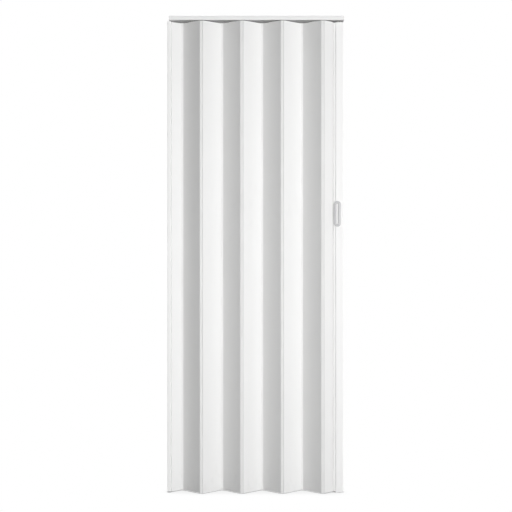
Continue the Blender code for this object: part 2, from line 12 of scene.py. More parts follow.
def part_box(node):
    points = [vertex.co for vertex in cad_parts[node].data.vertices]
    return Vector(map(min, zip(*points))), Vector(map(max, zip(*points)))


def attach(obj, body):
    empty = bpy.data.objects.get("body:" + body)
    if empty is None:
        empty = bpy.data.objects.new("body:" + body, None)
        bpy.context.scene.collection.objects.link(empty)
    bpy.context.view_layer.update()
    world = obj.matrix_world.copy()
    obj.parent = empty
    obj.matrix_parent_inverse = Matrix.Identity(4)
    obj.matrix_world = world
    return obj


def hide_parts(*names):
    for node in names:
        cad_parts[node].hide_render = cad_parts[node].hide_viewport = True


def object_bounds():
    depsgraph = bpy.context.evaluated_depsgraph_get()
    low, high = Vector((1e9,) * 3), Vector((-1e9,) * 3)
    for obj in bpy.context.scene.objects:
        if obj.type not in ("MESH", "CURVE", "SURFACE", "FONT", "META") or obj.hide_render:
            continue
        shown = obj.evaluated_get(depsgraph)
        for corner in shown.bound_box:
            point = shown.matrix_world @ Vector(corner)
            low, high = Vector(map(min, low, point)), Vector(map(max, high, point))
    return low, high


bl_info = {
    "name": "Accordion door",
    "version": (1, 0, 0),
    "blender": (4, 5, 0),
    "location": "3D View > Sidebar > Door",
    "description": "Dresses a white accordion door: track, slats, fold strips, posts and ring pulls",
    "category": "Object",
}

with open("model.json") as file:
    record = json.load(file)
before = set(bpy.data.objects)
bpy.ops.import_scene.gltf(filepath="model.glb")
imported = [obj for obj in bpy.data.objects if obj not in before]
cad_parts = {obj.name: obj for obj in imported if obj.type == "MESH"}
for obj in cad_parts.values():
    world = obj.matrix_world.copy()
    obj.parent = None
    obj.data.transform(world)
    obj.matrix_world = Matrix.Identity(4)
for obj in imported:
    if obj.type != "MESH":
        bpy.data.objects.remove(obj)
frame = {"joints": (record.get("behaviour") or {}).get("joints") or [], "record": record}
CAD_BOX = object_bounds()

# What the frame says: where each body turns, and the body and finish of each node
PIVOTS = {joint["child"]: Vector(joint["pos_m"]) for joint in frame["joints"]}
BODIES = frame["record"]["behaviour"]["bodies"]
BODY_OF = {node: body for body, nodes in BODIES.items() for node in nodes}
SLATS = sum(body.startswith("panel_") for body in BODIES)

# Fits, walls, counts and angles that the solids have, in metres and degrees
CLEARANCE = 0.0003
SLAT_THICKNESS = 0.0058
SLAT_SKIN = 0.001
SLAT_CELLS = 3
REST_ANGLE = 38.0
FOLDED_ANGLE = 84.0
BEAD_RADIUS = 0.0015
NECK_THICKNESS = 0.0011
CORE_DEPTH = 0.0048
CORE_GAP = 0.0006
LEAD_CORE_DEPTH = 0.013
LEAD_CORE_WALL = 0.0015
FOOT_WIDTH = 0.008
FOOT_THICKNESS = 0.0017
TRACK_WALL = 0.002
CHANNEL_WIDTH = 0.0146
TRACK_SLOT = 0.006
TRACK_HOLES = 4
TRACK_HOLE_INSET = 0.06
STRIP_HOLES = 6
STRIP_HOLE_INSET = 0.1
HOLE_RADIUS = 0.00225
COUNTERSINK = 0.0015
POST_WALL = 0.002
BOSS_WALL = 0.0015
SNAP_RIDGE = 0.0008
SNAP_WIDTH = 0.001
MAGNET_ROOM = 0.002
CAP_THICKNESS = 0.002
CAP_PLUG = 0.018
GLIDE_PLAY = 0.001
GLIDE_HEAD = 0.003
GLIDE_PLUG = 0.025
COLLAR_THICKNESS = 0.001
STUD_RADIUS = 0.003
GRIP_WIDTH = 0.0075
SCREW_RADIUS = 0.0015
SCREW_HEAD_RADIUS = 0.0028
SCREW_HEAD = 0.0016

# Worked out from those
HALF_SLAT = SLAT_THICKNESS / 2
SOCKET_RADIUS = BEAD_RADIUS + CLEARANCE
HALF_NECK = NECK_THICKNESS / 2
NECK_ROOM = math.degrees(math.asin((HALF_NECK + CLEARANCE) / SOCKET_RADIUS))
SOCKET_FROM = 180 - FOLDED_ANGLE - NECK_ROOM
SOCKET_TO = 180 - REST_ANGLE + NECK_ROOM
FOOT_ROOM = FOOT_THICKNESS + 2 * CLEARANCE
BOSS_HALF = FOOT_WIDTH / 2 + CLEARANCE + BOSS_WALL
BOSS_DEPTH = POST_WALL + FOOT_ROOM + BOSS_WALL
NECK_RADIUS = TRACK_SLOT / 2 - GLIDE_PLAY
HEAD_RADIUS = CHANNEL_WIDTH / 2 - GLIDE_PLAY

# Small forms that only these pieces have, in metres or as shares
SPLIT_WIDTH = 0.0016      # spring cut in a track stop
SPLIT_SHARE = 0.6         # its depth, of the stop's length
LEG_SHARE = 0.42          # width of a glide's leg, of half its cell
DOMED = 3                 # rounding of a glide head's top, in moulded rounds
RIM_ROUND = 0.65          # most rounding of a pull's rim, of the rim's height
THREAD_PITCH = 0.0007
THREAD_ROOT = 0.78        # of the screw's radius
THREAD_FLANK = 0.3        # half of a thread's foot, of the pitch
DOME_FLAT = 0.5           # flat middle of a screw head, of its radius
DOME_ROUND = 0.45         # rounding of a screw head, of its height
CROSS_ARM = 0.62          # of the head's radius
CROSS_DEPTH = 0.6         # of the head's height
CROSS_HALF = 0.00028      # half the width of an arm

# Studio, in metres: soft boxes (width and height), their places, and the floor
KEY_SIZE = (3.5, 2.1)
FRONT_SIZE = (2.4, 2.8)
FRONT_SIDE = -0.5
BACK_SIZE = (2.5, 2.5)
BACK_PLACE = Vector((-1.6, 3.0, 2.4))
FLOOR_RADIUS = 9.0
FLOOR_SIDES = 96

# How the modelling works
DRAW_SCALE = 1000.0       # outlines are drawn in millimetres, where fills and merges are exact
MERGE = 0.001             # drawn points closer than this are one point
REACH = 0.002             # how far a cutting tool passes the face that it opens
SHARP_ANGLE = 32.0        # edges sharper than this stay crisp
LEVEL = 0.9               # faces whose normal rises more than this are an extrusion's ends
BLOCK_STEPS = 3           # facets across a block's rounded edge
SAWN = 1                  # material place of the sawn ends on an extruded piece
UPRIGHT = Matrix.Identity(4)
ALONG_X = Matrix(((0, 0, 1, 0), (1, 0, 0, 0), (0, 1, 0, 0), (0, 0, 0, 1)))
TO_FRONT = Matrix.Rotation(math.radians(90), 4, "X")
OVER = Matrix.Diagonal((1, -1, 1, 1))

# How the finishes work
NOISE_SPAN = (0.3, 0.7)   # where most values of a noise lie
PAINTED_SHADE_REACH = 0.25         # the track gets painted shade where the slats are closer than this
PAINTED_SHADE_SHARE = 0.25         # colour of the painted shade, as a share of the unshaded colour
PAINTED_SHADE_SPAN = (0.3, 0.9)    # open air over which the painted shade fades out
SHADE_SPAN = (0.4, 0.95)  # open air over which the floor's soft shade fades
CONTACT_SPAN = (0.2, 0.9)  # open air over which the dark line under the slats fades


def length_property(name, description, default):
    return FloatProperty(name=name, description=description, default=default, min=0.0, unit="LENGTH",
                         precision=5)


def power_property(name, description, default):
    return FloatProperty(name=name, description=description, default=default, min=0.0, unit="POWER")


def angle_property(name, description, degrees):
    return FloatProperty(name=name, description=description, default=math.radians(degrees), unit="ROTATION")


def colour_property(name, description, default):
    return FloatVectorProperty(name=name, description=description, default=default, size=3, min=0.0,
                               max=1.0, subtype="COLOR")


class DoorSizes(PropertyGroup):
    """Rounding and fineness of the modelled pieces."""
    sawn_chamfer: length_property("Sawn chamfer", "Broken edge round the ends of slats, strips and posts",
                                  0.0002)
    slat_round: length_property("Slat lip round", "Rounding of the lips at a slat's sockets", 0.0003)
    core_round: length_property("Fold strip round", "Rounding of a fold strip's core", 0.0005)
    die_round: length_property("Die round", "Rounding that the die leaves on small corners", 0.0004)
    track_round: length_property("Track round", "Rounding of the track's outer edges", 0.0012)
    post_round: length_property("Post round", "Rounding of the posts' long edges", 0.002)
    pull_round: length_property("Pull round", "Rounding of a ring pull's outer edge", 0.0026)
    pull_fall: length_property("Pull fall", "Fall of the front pull's face from its slot to its edge", 0.0023)
    grip_round: length_property("Grip round", "Rounding of the edge round a pull's finger slot", 0.002)
    moulded_round: length_property("Moulded round", "Rounding of moulded edges", 0.0003)
    arc_step: FloatProperty(name="Arc step", description="Degrees that each facet of a round stretch turns",
                            default=9.0, min=2.0, max=45.0)
    fillet_steps: IntProperty(name="Fillet steps", description="Facets across a rounded corner",
                              default=5, min=1)
    turn_steps: IntProperty(name="Turning steps", description="Facets round a turned piece",
                            default=40, min=8)


class DoorColours(PropertyGroup):
    """Colours of the finishes."""
    slat: colour_property("Slat PVC", "Drawn white skin of the slats", (0.86, 0.86, 0.856))
    post: colour_property("Post PVC", "Brighter white of the posts", (0.96, 0.96, 0.956))
    rail: colour_property("Track PVC", "Brighter white of the track", (0.96, 0.96, 0.956))
    sawn: colour_property("Sawn PVC", "Dull white of the sawn ends", (0.80, 0.80, 0.79))
    strip: colour_property("Flexible PVC", "Soft white of the fold strips", (0.95, 0.95, 0.945))
    nylon: colour_property("Nylon", "Milky white of glides and stops", (0.80, 0.80, 0.77))
    pull: colour_property("Ring pull", "Satin grey lacquer of the pulls", (0.56, 0.56, 0.57))
    steel: colour_property("Zinc plate", "Plated steel of the pull screws", (0.62, 0.63, 0.65))
    magnet: colour_property("Magnet", "Dark rubber of the closing magnet", (0.035, 0.035, 0.037))
    floor: colour_property("Floor", "Pale studio floor", (0.28, 0.28, 0.28))


class DoorStudio(PropertyGroup):
    """Camera and lights."""
    camera_distance: length_property("Camera distance", "From the camera to the front folds", 4.2)
    view_width: length_property("View width", "Width of the picture at the front folds", 2.179)
    eye_shift: FloatProperty(name="Lens shift", description="Lowers the picture below eye level",
                             default=-0.03)
    view_centre: length_property("View centre", "Depth of the picture's middle below the track's top", 1.021)
    view_offset: FloatProperty(name="View offset", description="Picture's middle left of the track's middle",
                               default=0.0021, unit="LENGTH", precision=4)
    ambient: FloatProperty(name="Ambient", description="Light from all round", default=0.02, min=0.0)
    key_power: power_property("Key power", "Soft box right of the camera", 91.0)
    key_azimuth: angle_property("Key azimuth", "Soft box's turn to the right of the camera", 42.0)
    key_distance: length_property("Key distance", "From the soft box to the middle of the door", 5.5)
    key_depth: length_property("Key depth", "Soft box's middle below the track's top", 0.9)
    key_spread: angle_property("Key spread", "Opening of the soft box's beam", 120.0)
    front_power: power_property("Front power", "Soft box behind the camera", 90.0)
    front_distance: length_property("Front distance", "From the front soft box to the middle of the door",
                                    4.5)
    front_depth: length_property("Front depth", "Middle of the front soft box below the track's top", 1.0)
    back_power: power_property("Back power", "High soft box behind the door", 186.0)
    floor_glow: FloatProperty(name="Floor glow", description="How far the shaded floor is lifted to white",
                              default=0.85, min=0.0, max=1.0)
    shade_reach: length_property("Shade reach", "Reach of the soft shade round the foot", 0.09)
    contact_reach: length_property("Contact reach", "Reach of the dark line under the slats", 0.012)


class DoorLook(PropertyGroup):
    """All that a user may change on the door."""
    sizes: PointerProperty(type=DoorSizes, name="Sizes", description="Rounding and fineness")
    colours: PointerProperty(type=DoorColours, name="Colours", description="Colours of the finishes")
    studio: PointerProperty(type=DoorStudio, name="Studio", description="Camera and lights")


# Shader nodes

def add_node(tree, kind, inputs=None, **settings):
    """New node with its settings, and its inputs given as values or as sockets to link."""
    made = tree.nodes.new(kind)
    for key, value in settings.items():
        setattr(made, key, value)
    for key, value in (inputs or {}).items():
        if isinstance(value, bpy.types.NodeSocket):
            tree.links.new(value, made.inputs[key])
        else:
            made.inputs[key].default_value = value
    return made


def math_node(tree, operation, first, second=0.0):
    return add_node(tree, "ShaderNodeMath", {0: first, 1: second}, operation=operation).outputs[0]


def remap(tree, value, low, high, to_low, to_high):
    """Smooth change of a value from one range to another."""
    made = add_node(tree, "ShaderNodeMapRange",
                    {"Value": value, "From Min": low, "From Max": high, "To Min": to_low, "To Max": to_high},
                    interpolation_type="SMOOTHSTEP")
    return made.outputs["Result"]


def noise(tree, vector, scale, detail):
    made = add_node(tree, "ShaderNodeTexNoise", {"Vector": vector, "Scale": scale, "Detail": detail})
    return made.outputs["Fac"]


def stretched(tree, vector, scale, turn=(0, 0, 0)):
    made = add_node(tree, "ShaderNodeMapping", {"Vector": vector, "Scale": scale, "Rotation": turn})
    return made.outputs["Vector"]


def mixed(tree, share, first, second):
    """Colour between two colours."""
    return add_node(tree, "ShaderNodeMix", {0: share, 6: first, 7: second}, data_type="RGBA").outputs[2]


def open_air(tree, reach):
    """1 where nothing stands within reach of a surface, towards 0 where it is closed in."""
    return add_node(tree, "ShaderNodeAmbientOcclusion", {"Distance": reach}).outputs["AO"]


def new_group(name, values, outputs):
    """Node group with a point, values and outputs; returns its tree, its inputs and its output sockets."""
    tree = bpy.data.node_groups.new(name, "ShaderNodeTree")
    tree.interface.new_socket("Point", in_out="INPUT", socket_type="NodeSocketVector")
    for socket in values:
        tree.interface.new_socket(socket, in_out="INPUT", socket_type="NodeSocketFloat")
    for socket in outputs:
        tree.interface.new_socket(socket, in_out="OUTPUT", socket_type="NodeSocketFloat")
    return tree, tree.nodes.new("NodeGroupInput").outputs, tree.nodes.new("NodeGroupOutput").inputs


def die_lines_group():
    """Fine streaks that a die draws along an upright extrusion, and broader bands of sheen."""
    tree, given, out = new_group("Die lines", ("Fineness",), ("Lines", "Bands"))
    drawn = stretched(tree, given["Point"], (1.0, 1.0, 0.0016))
    tree.links.new(noise(tree, drawn, given["Fineness"], 4.0), out["Lines"])
    broad = stretched(tree, given["Point"], (1.0, 1.0, 0.03))
    tree.links.new(noise(tree, broad, 22.0, 1.0), out["Bands"])
    return tree


def grain_group():
    """Fine pebble of a soft or moulded surface."""
    tree, given, out = new_group("Grain", ("Fineness",), ("Grain",))
    pebble = add_node(tree, "ShaderNodeTexVoronoi", {"Vector": given["Point"], "Scale": given["Fineness"]},
                      feature="SMOOTH_F1").outputs["Distance"]
    cloud = noise(tree, given["Point"], given["Fineness"], 3.0)
    tree.links.new(math_node(tree, "ADD", math_node(tree, "MULTIPLY", pebble, 0.6), cloud), out["Grain"])
    return tree


def handling_group():
    """Faint marks that thin out above and below a height, as hands and shoes leave them."""
    tree, given, out = new_group("Handling", ("Height", "Spread"), ("Marks",))
    height = add_node(tree, "ShaderNodeSeparateXYZ", {"Vector": given["Point"]}).outputs["Z"]
    away = math_node(tree, "ABSOLUTE", math_node(tree, "SUBTRACT", height, given["Height"]))
    near = remap(tree, math_node(tree, "DIVIDE", away, given["Spread"]), 0.0, 1.0, 1.0, 0.0)
    smears = noise(tree, stretched(tree, given["Point"], (1.0, 1.0, 0.45)), 46.0, 5.0)
    rubbed = remap(tree, smears, 0.5, 0.72, 0.0, 1.0)
    tree.links.new(math_node(tree, "MULTIPLY", near, rubbed), out["Marks"])
    return tree


def saw_group():
    """Close parallel marks of a saw across a cut end."""
    tree, given, out = new_group("Saw marks", ("Fineness",), ("Marks",))
    slanted = stretched(tree, given["Point"], (1.0, 1.0, 1.0), (0.0, 0.0, math.radians(24.0)))
    marks = add_node(tree, "ShaderNodeTexWave", {"Vector": slanted, "Scale": given["Fineness"],
                                                 "Distortion": 3.0, "Detail": 2.0, "Detail Scale": 2.0})
    tree.links.new(marks.outputs["Fac"], out["Marks"])
    return tree


GROUP_MAKERS = {"die": die_lines_group, "grain": grain_group, "handling": handling_group, "saw": saw_group}
GROUPS = {}


def place_group(tree, name, **values):
    """Outputs of a group placed in a material, with its values or links; each group is built once."""
    if name not in GROUPS:
        GROUPS[name] = GROUP_MAKERS[name]()
    return add_node(tree, "ShaderNodeGroup", values, node_tree=GROUPS[name]).outputs


# Finishes

def new_finish(name, **values):
    """Material with plain shader values; returns it, its tree, the shader's inputs and object coordinates."""
    made = bpy.data.materials.new(name)
    made.use_nodes = True
    tree = made.node_tree
    shader = tree.nodes["Principled BSDF"]
    for key, value in values.items():
        shader.inputs[key.replace("_", " ")].default_value = value
    return made, tree, shader.inputs, add_node(tree, "ShaderNodeTexCoord").outputs["Object"]


def dress(tree, shader, colour, roughness, height, depth):
    """Link a finish's colour and roughness, and its relief of a depth in metres."""
    tree.links.new(colour, shader["Base Color"])
    tree.links.new(roughness, shader["Roughness"])
    relief = add_node(tree, "ShaderNodeBump", {"Height": height, "Distance": depth})
    tree.links.new(relief.outputs["Normal"], shader["Normal"])


def tinted(colour, share):
    """A share of a colour, as RGBA."""
    return (*(part * share for part in colour), 1.0)


def shaded(tree, mask, colour, low, high):
    """Colour between two shares of a colour."""
    return mixed(tree, mask, tinted(colour, low), tinted(colour, high))


def extruded_pvc(name, colour):
    """Satin rigid PVC with die lines, faint hand marks at pull height and scuffs at the foot."""
    made, tree, shader, point = new_finish(name, IOR=1.53, Specular_IOR_Level=0.2)
    die = place_group(tree, "die", Point=point, Fineness=620.0)
    hands = place_group(tree, "handling", Point=point, Height=pull_height(), Spread=0.32)["Marks"]
    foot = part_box("lead_post_bottom_cap")[0].z
    shoes = place_group(tree, "handling", Point=point, Height=foot, Spread=0.2)["Marks"]
    marks = math_node(tree, "MAXIMUM", math_node(tree, "MULTIPLY", hands, 0.45), shoes)
    drawn = remap(tree, die["Lines"], *NOISE_SPAN, 0.0, 1.0)
    streaked = shaded(tree, drawn, colour, 0.993, 1.0)
    worn = mixed(tree, math_node(tree, "MULTIPLY", marks, 0.5), streaked, tinted(colour, 0.93))
    sheen = math_node(tree, "ADD", remap(tree, die["Bands"], *NOISE_SPAN, 0.44, 0.5),
                      remap(tree, die["Lines"], *NOISE_SPAN, -0.03, 0.03))
    dulled = math_node(tree, "ADD", sheen, math_node(tree, "MULTIPLY", marks, 0.12))
    dress(tree, shader, worn, dulled, die["Lines"], 0.00002)
    return made


def track_pvc_with_painted_shade(name, colour):
    """Extruded PVC of the track, darkened with painted shade where the slats or its own walls close it in,
    mostly on its underside above the slats.
    """
    made = extruded_pvc(name, colour)
    tree = made.node_tree
    base = tree.nodes["Principled BSDF"].inputs["Base Color"]
    unshaded = base.links[0].from_socket
    # painted shade: the colour darkens towards a share of itself where ambient occlusion finds the slats or
    # walls close by
    dust_and_painted_shade = remap(tree, open_air(tree, PAINTED_SHADE_REACH), *PAINTED_SHADE_SPAN, 1.0, 0.0)
    tree.links.new(mixed(tree, dust_and_painted_shade, unshaded, tinted(colour, PAINTED_SHADE_SHARE)), base)
    return made


def sawn_pvc(name, colour):
    """Dull sawn end of an extrusion."""
    made, tree, shader, point = new_finish(name, IOR=1.53)
    marks = place_group(tree, "saw", Point=point, Fineness=420.0)["Marks"]
    scored = shaded(tree, marks, colour, 0.94, 1.0)
    dress(tree, shader, scored, remap(tree, marks, 0.0, 1.0, 0.72, 0.58), marks, 0.00006)
    return made


def flexible_pvc(name, colour):
    """Soft PVC of the fold strips, with die lines and a fine pebble."""
    made, tree, shader, point = new_finish(name, IOR=1.52, Specular_IOR_Level=0.2)
    die = place_group(tree, "die", Point=point, Fineness=900.0)
    grain = place_group(tree, "grain", Point=point, Fineness=2600.0)["Grain"]
    banded = shaded(tree, die["Bands"], colour, 0.97, 1.0)
    height = math_node(tree, "ADD", die["Lines"], math_node(tree, "MULTIPLY", grain, 0.3))
    dress(tree, shader, banded, remap(tree, grain, 0.3, 1.1, 0.46, 0.54), height, 0.00003)
    return made


def moulded_nylon(name, colour):
    """Milky nylon of glides and stops, polished where it runs."""
    made, tree, shader, point = new_finish(name, IOR=1.53)
    grain = place_group(tree, "grain", Point=point, Fineness=1500.0)["Grain"]
    flow = noise(tree, point, 120.0, 3.0)
    milky = shaded(tree, flow, colour, 0.93, 1.0)
    dress(tree, shader, milky, remap(tree, flow, *NOISE_SPAN, 0.28, 0.42), grain, 0.00003)
    return made


def satin_lacquer(name, colour):
    """Satin grey lacquer of the ring pulls, a little brighter where fingers polish it."""
    made, tree, shader, point = new_finish(name, IOR=1.5)
    grain = place_group(tree, "grain", Point=point, Fineness=1900.0)["Grain"]
    rubbed = place_group(tree, "handling", Point=point, Height=pull_height(), Spread=0.05)["Marks"]
    speckled = shaded(tree, remap(tree, grain, 0.4, 1.0, 0.0, 1.0), colour, 0.95, 1.0)
    worn = mixed(tree, math_node(tree, "MULTIPLY", rubbed, 0.4), speckled, tinted(colour, 1.1))
    polish = math_node(tree, "MULTIPLY", rubbed, 0.1)
    sheen = math_node(tree, "SUBTRACT", remap(tree, grain, 0.4, 1.0, 0.34, 0.42), polish)
    dress(tree, shader, worn, sheen, grain, 0.00002)
    return made


def zinc_plate(name, colour):
    """Plated steel of the pull screws, clouded as passivated zinc is."""
    made, tree, shader, point = new_finish(name, Metallic=1.0)
    cloud = noise(tree, point, 900.0, 4.0)
    clouded = shaded(tree, cloud, colour, 0.85, 1.0)
    dress(tree, shader, clouded, remap(tree, cloud, *NOISE_SPAN, 0.24, 0.4), cloud, 0.00002)
    return made


def magnet_rubber(name, colour):
    """Dark filled rubber of the closing magnet."""
    made, tree, shader, point = new_finish(name)
    grain = place_group(tree, "grain", Point=point, Fineness=2200.0)["Grain"]
    dust_and_painted_shade = noise(tree, stretched(tree, point, (1.0, 1.0, 0.2)), 60.0, 4.0)
    dusty = shaded(tree, remap(tree, dust_and_painted_shade, 0.45, 0.8, 0.0, 0.5), colour, 1.0, 2.4)
    dress(tree, shader, dusty, remap(tree, grain, 0.3, 1.1, 0.6, 0.78), grain, 0.00005)
    return made


FINISH_MAKERS = {
    "slat": ("Slat PVC", extruded_pvc),
    "post": ("Post PVC", extruded_pvc),
    "rail": ("Track PVC", track_pvc_with_painted_shade),
    "sawn": ("Sawn PVC", sawn_pvc),
    "strip": ("Flexible PVC", flexible_pvc),
    "nylon": ("Moulded nylon", moulded_nylon),
    "pull": ("Satin grey lacquer", satin_lacquer),
    "steel": ("Zinc plate", zinc_plate),
    "magnet": ("Magnet rubber", magnet_rubber),
}
FINISHES = {}


def finish(name):
    """A finish in the colour of its name, made when it is first asked for."""
    if name not in FINISHES:
        label, make = FINISH_MAKERS[name]
        FINISHES[name] = make(label, getattr(bpy.context.scene.accordion_door.colours, name))
    return FINISHES[name]


def pull_height():
    low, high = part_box("handle_front")
    return (low.z + high.z) / 2


# Modelling

class Outline:
    """A flat outline drawn as a chain of edges: straight stretches, arcs and rounded corners."""

    def __init__(self, bm, x, y):
        self.bm = bm
        self.sizes = bpy.context.scene.accordion_door.sizes
        self.first = bm.verts.new((x * DRAW_SCALE, y * DRAW_SCALE, 0))
        self.tip = self.first
        self.corners = {}

    def line(self, *points, fillet=0.0):
        """Straight stretches to each point, with the corners there rounded."""
        for x, y in points:
            grown = bmesh.ops.extrude_vert_indiv(self.bm, verts=[self.tip])
            self.tip = grown["verts"][0]
            self.tip.co = (x * DRAW_SCALE, y * DRAW_SCALE, 0)
            if fillet:
                self.corners.setdefault(fillet, []).append(self.tip)
        return self

    def arc(self, x, y, degrees):
        """Round stretch about a centre, anticlockwise where the turn is positive."""
        steps = math.ceil(abs(degrees) / self.sizes.arc_step)
        grown = bmesh.ops.spin(self.bm, geom=[self.tip], cent=(x * DRAW_SCALE, y * DRAW_SCALE, 0),
                               axis=(0, 0, 1), angle=math.radians(degrees), steps=steps)
        self.tip = grown["geom_last"][0]
        return self

    def end(self):
        """Round the corners that asked for it."""
        for fillet, verts in self.corners.items():
            bmesh.ops.bevel(self.bm, geom=verts, affect="VERTICES", offset=fillet * DRAW_SCALE,
                            segments=self.sizes.fillet_steps, profile=0.5, material=-1)

    def close(self):
        self.bm.edges.new((self.tip, self.first))
        self.end()


def across(points):
    """Points mirrored in the line y = 0, in the opposite order, to draw a section's other half."""
    return [(x, -y) for x, y in reversed(points)]


def beside(points):
    """Points mirrored in the line x = 0, in the opposite order."""
    return [(-x, y) for x, y in reversed(points)]


def only(kind, parts):
    return [part for part in parts if isinstance(part, kind)]


def made_mesh(bm, name, place, *finishes):
    """Mesh of a drawn shape, brought to metres and to its place, facing out, with its finishes."""
    bmesh.ops.scale(bm, vec=(1 / DRAW_SCALE,) * 3, verts=bm.verts)
    bmesh.ops.transform(bm, matrix=place, verts=bm.verts)
    bmesh.ops.recalc_face_normals(bm, faces=bm.faces)
    mesh = bpy.data.meshes.new(name)
    bm.to_mesh(mesh)
    bm.free()
    for name_of_finish in finishes:
        mesh.materials.append(finish(name_of_finish))
    return mesh


def prism(name, draw, bottom, top, place, *finishes):
    """Extrusion of a drawn section between two heights, with broken edges round its sawn ends."""
    chamfer = bpy.context.scene.accordion_door.sizes.sawn_chamfer
    bm = bmesh.new()
    draw(bm)
    filled = bmesh.ops.triangle_fill(bm, use_beauty=True, edges=bm.edges[:])
    bmesh.ops.translate(bm, vec=(0, 0, (bottom + chamfer) * DRAW_SCALE), verts=bm.verts)
    raised = bmesh.ops.extrude_face_region(bm, geom=only(bmesh.types.BMFace, filled["geom"]))
    verts = only(bmesh.types.BMVert, raised["geom"])
    bmesh.ops.translate(bm, vec=(0, 0, (top - bottom - 2 * chamfer) * DRAW_SCALE), verts=verts)
    bmesh.ops.recalc_face_normals(bm, faces=bm.faces)
    ends = [face for face in bm.faces if abs(face.normal.z) > LEVEL]
    bmesh.ops.inset_region(bm, faces=ends, thickness=chamfer * DRAW_SCALE, depth=chamfer * DRAW_SCALE,
                           use_even_offset=True, use_boundary=True)
    if len(finishes) > 1:
        for face in ends:
            face.material_index = SAWN
    return made_mesh(bm, name, place, *finishes)


def turning(name, draw, place, *finishes):
    """Turned piece from a (radius, height) outline that starts and ends on the axis."""
    bm = bmesh.new()
    draw(bm)
    bmesh.ops.rotate(bm, matrix=Matrix.Rotation(math.radians(90), 3, "X"), verts=bm.verts)
    bmesh.ops.spin(bm, geom=bm.verts[:] + bm.edges[:], axis=(0, 0, 1), angle=math.tau,
                   steps=bpy.context.scene.accordion_door.sizes.turn_steps, use_merge=True)
    bmesh.ops.remove_doubles(bm, verts=bm.verts, dist=MERGE)
    return made_mesh(bm, name, place, *finishes)


def block(name, low, high, rounding, place, *finishes):
    """Moulded block with rounded edges."""
    bm = bmesh.new()
    bmesh.ops.create_cube(bm, size=1.0)
    low, high = Vector(low) * DRAW_SCALE, Vector(high) * DRAW_SCALE
    bmesh.ops.scale(bm, vec=high - low, verts=bm.verts)
    bmesh.ops.translate(bm, vec=(low + high) / 2, verts=bm.verts)
    bmesh.ops.bevel(bm, geom=bm.edges[:], affect="EDGES", offset=rounding * DRAW_SCALE, segments=BLOCK_STEPS,
                    profile=0.5, material=-1)
    return made_mesh(bm, name, place, *finishes)


def carved(mesh, tool, operation="DIFFERENCE"):
    """A mesh with a tool shape cut out of it or joined to it."""
    items = [bpy.data.objects.new(part.name, part) for part in (mesh, tool)]
    for item in items:
        bpy.context.scene.collection.objects.link(item)
    step = items[0].modifiers.new("carve", "BOOLEAN")
    step.operation = operation
    step.solver = "MANIFOLD"
    step.object = items[1]
    graph = bpy.context.evaluated_depsgraph_get()
    made = bpy.data.meshes.new_from_object(items[0].evaluated_get(graph), depsgraph=graph)
    name = mesh.name
    for item in items:
        part = item.data
        bpy.data.objects.remove(item, do_unlink=True)
        bpy.data.meshes.remove(part)
    made.name = name
    return made


def piece(mesh, node):
    """Put a finished mesh in the scene, riding on its node's body and standing for the node."""
    item = bpy.data.objects.new(mesh.name, mesh)
    bpy.context.scene.collection.objects.link(item)
    mesh.shade_smooth()
    mesh.set_sharp_from_angle(angle=math.radians(SHARP_ANGLE))
    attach(item, BODY_OF[node])
    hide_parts(node)


def tall_piece(name, node, draw, place, *finishes):
    """Piece extruded over the height of its node."""
    low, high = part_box(node)
    piece(prism(name, draw, low.z, high.z, place, *finishes), node)


# Places

def evenly(first, last, count):
    return [first + (last - first) * i / (count - 1) for i in range(count)]


def polar(radius, degrees):
    return radius * math.cos(math.radians(degrees)), radius * math.sin(math.radians(degrees))


def turned_about(start, end):
    """Upright frame with its origin at one pivot and its x axis towards another."""
    run = end - start
    return Matrix.Translation((start.x, start.y, 0)) @ Matrix.Rotation(math.atan2(run.y, run.x), 4, "Z")


def through_post(low, high):
    """Frame on a pull screw's axis with its z axis to the front, from the screw's box."""
    return Matrix.Translation(((low.x + high.x) / 2, 0, (low.z + high.z) / 2)) @ TO_FRONT


def slat_ends(number):
    """Pivots at the two ends of a slat."""
    after = f"hinge_{number}" if number < SLATS else "lead_post"
    return PIVOTS[f"panel_{number}"], PIVOTS[after]


def cell_width(span):
    """Width of each hollow cell in a slat."""
    return (span - 2 * (HALF_SLAT + SLAT_SKIN) - (SLAT_CELLS - 1) * SLAT_SKIN) / SLAT_CELLS


# Sections

def draw_box(bm, left, right, foot, top, fillet):
    """Rounded rectangle, drawn from the middle of its foot."""
    corners = [(right, foot), (right, top), (left, top), (left, foot)]
    Outline(bm, (left + right) / 2, foot).line(*corners, fillet=fillet).close()


def plain_bore(bm, radius, foot, top):
    """Tool outline of a plain hole with clearance."""
    wide = radius + CLEARANCE
    Outline(bm, 0, foot).line((wide, foot), (wide, top), (0, top)).end()


def countersunk(bm, start, end):
    """Tool outline of a screw hole that passes both faces and widens towards its end."""
    rise = math.copysign(1, end - start)
    below, above = start - rise * REACH, end + rise * REACH
    wide = HOLE_RADIUS + COUNTERSINK
    Outline(bm, 0, below).line((HOLE_RADIUS, below), (HOLE_RADIUS, end - rise * COUNTERSINK), (wide, end),
                               (wide, above), (0, above)).end()


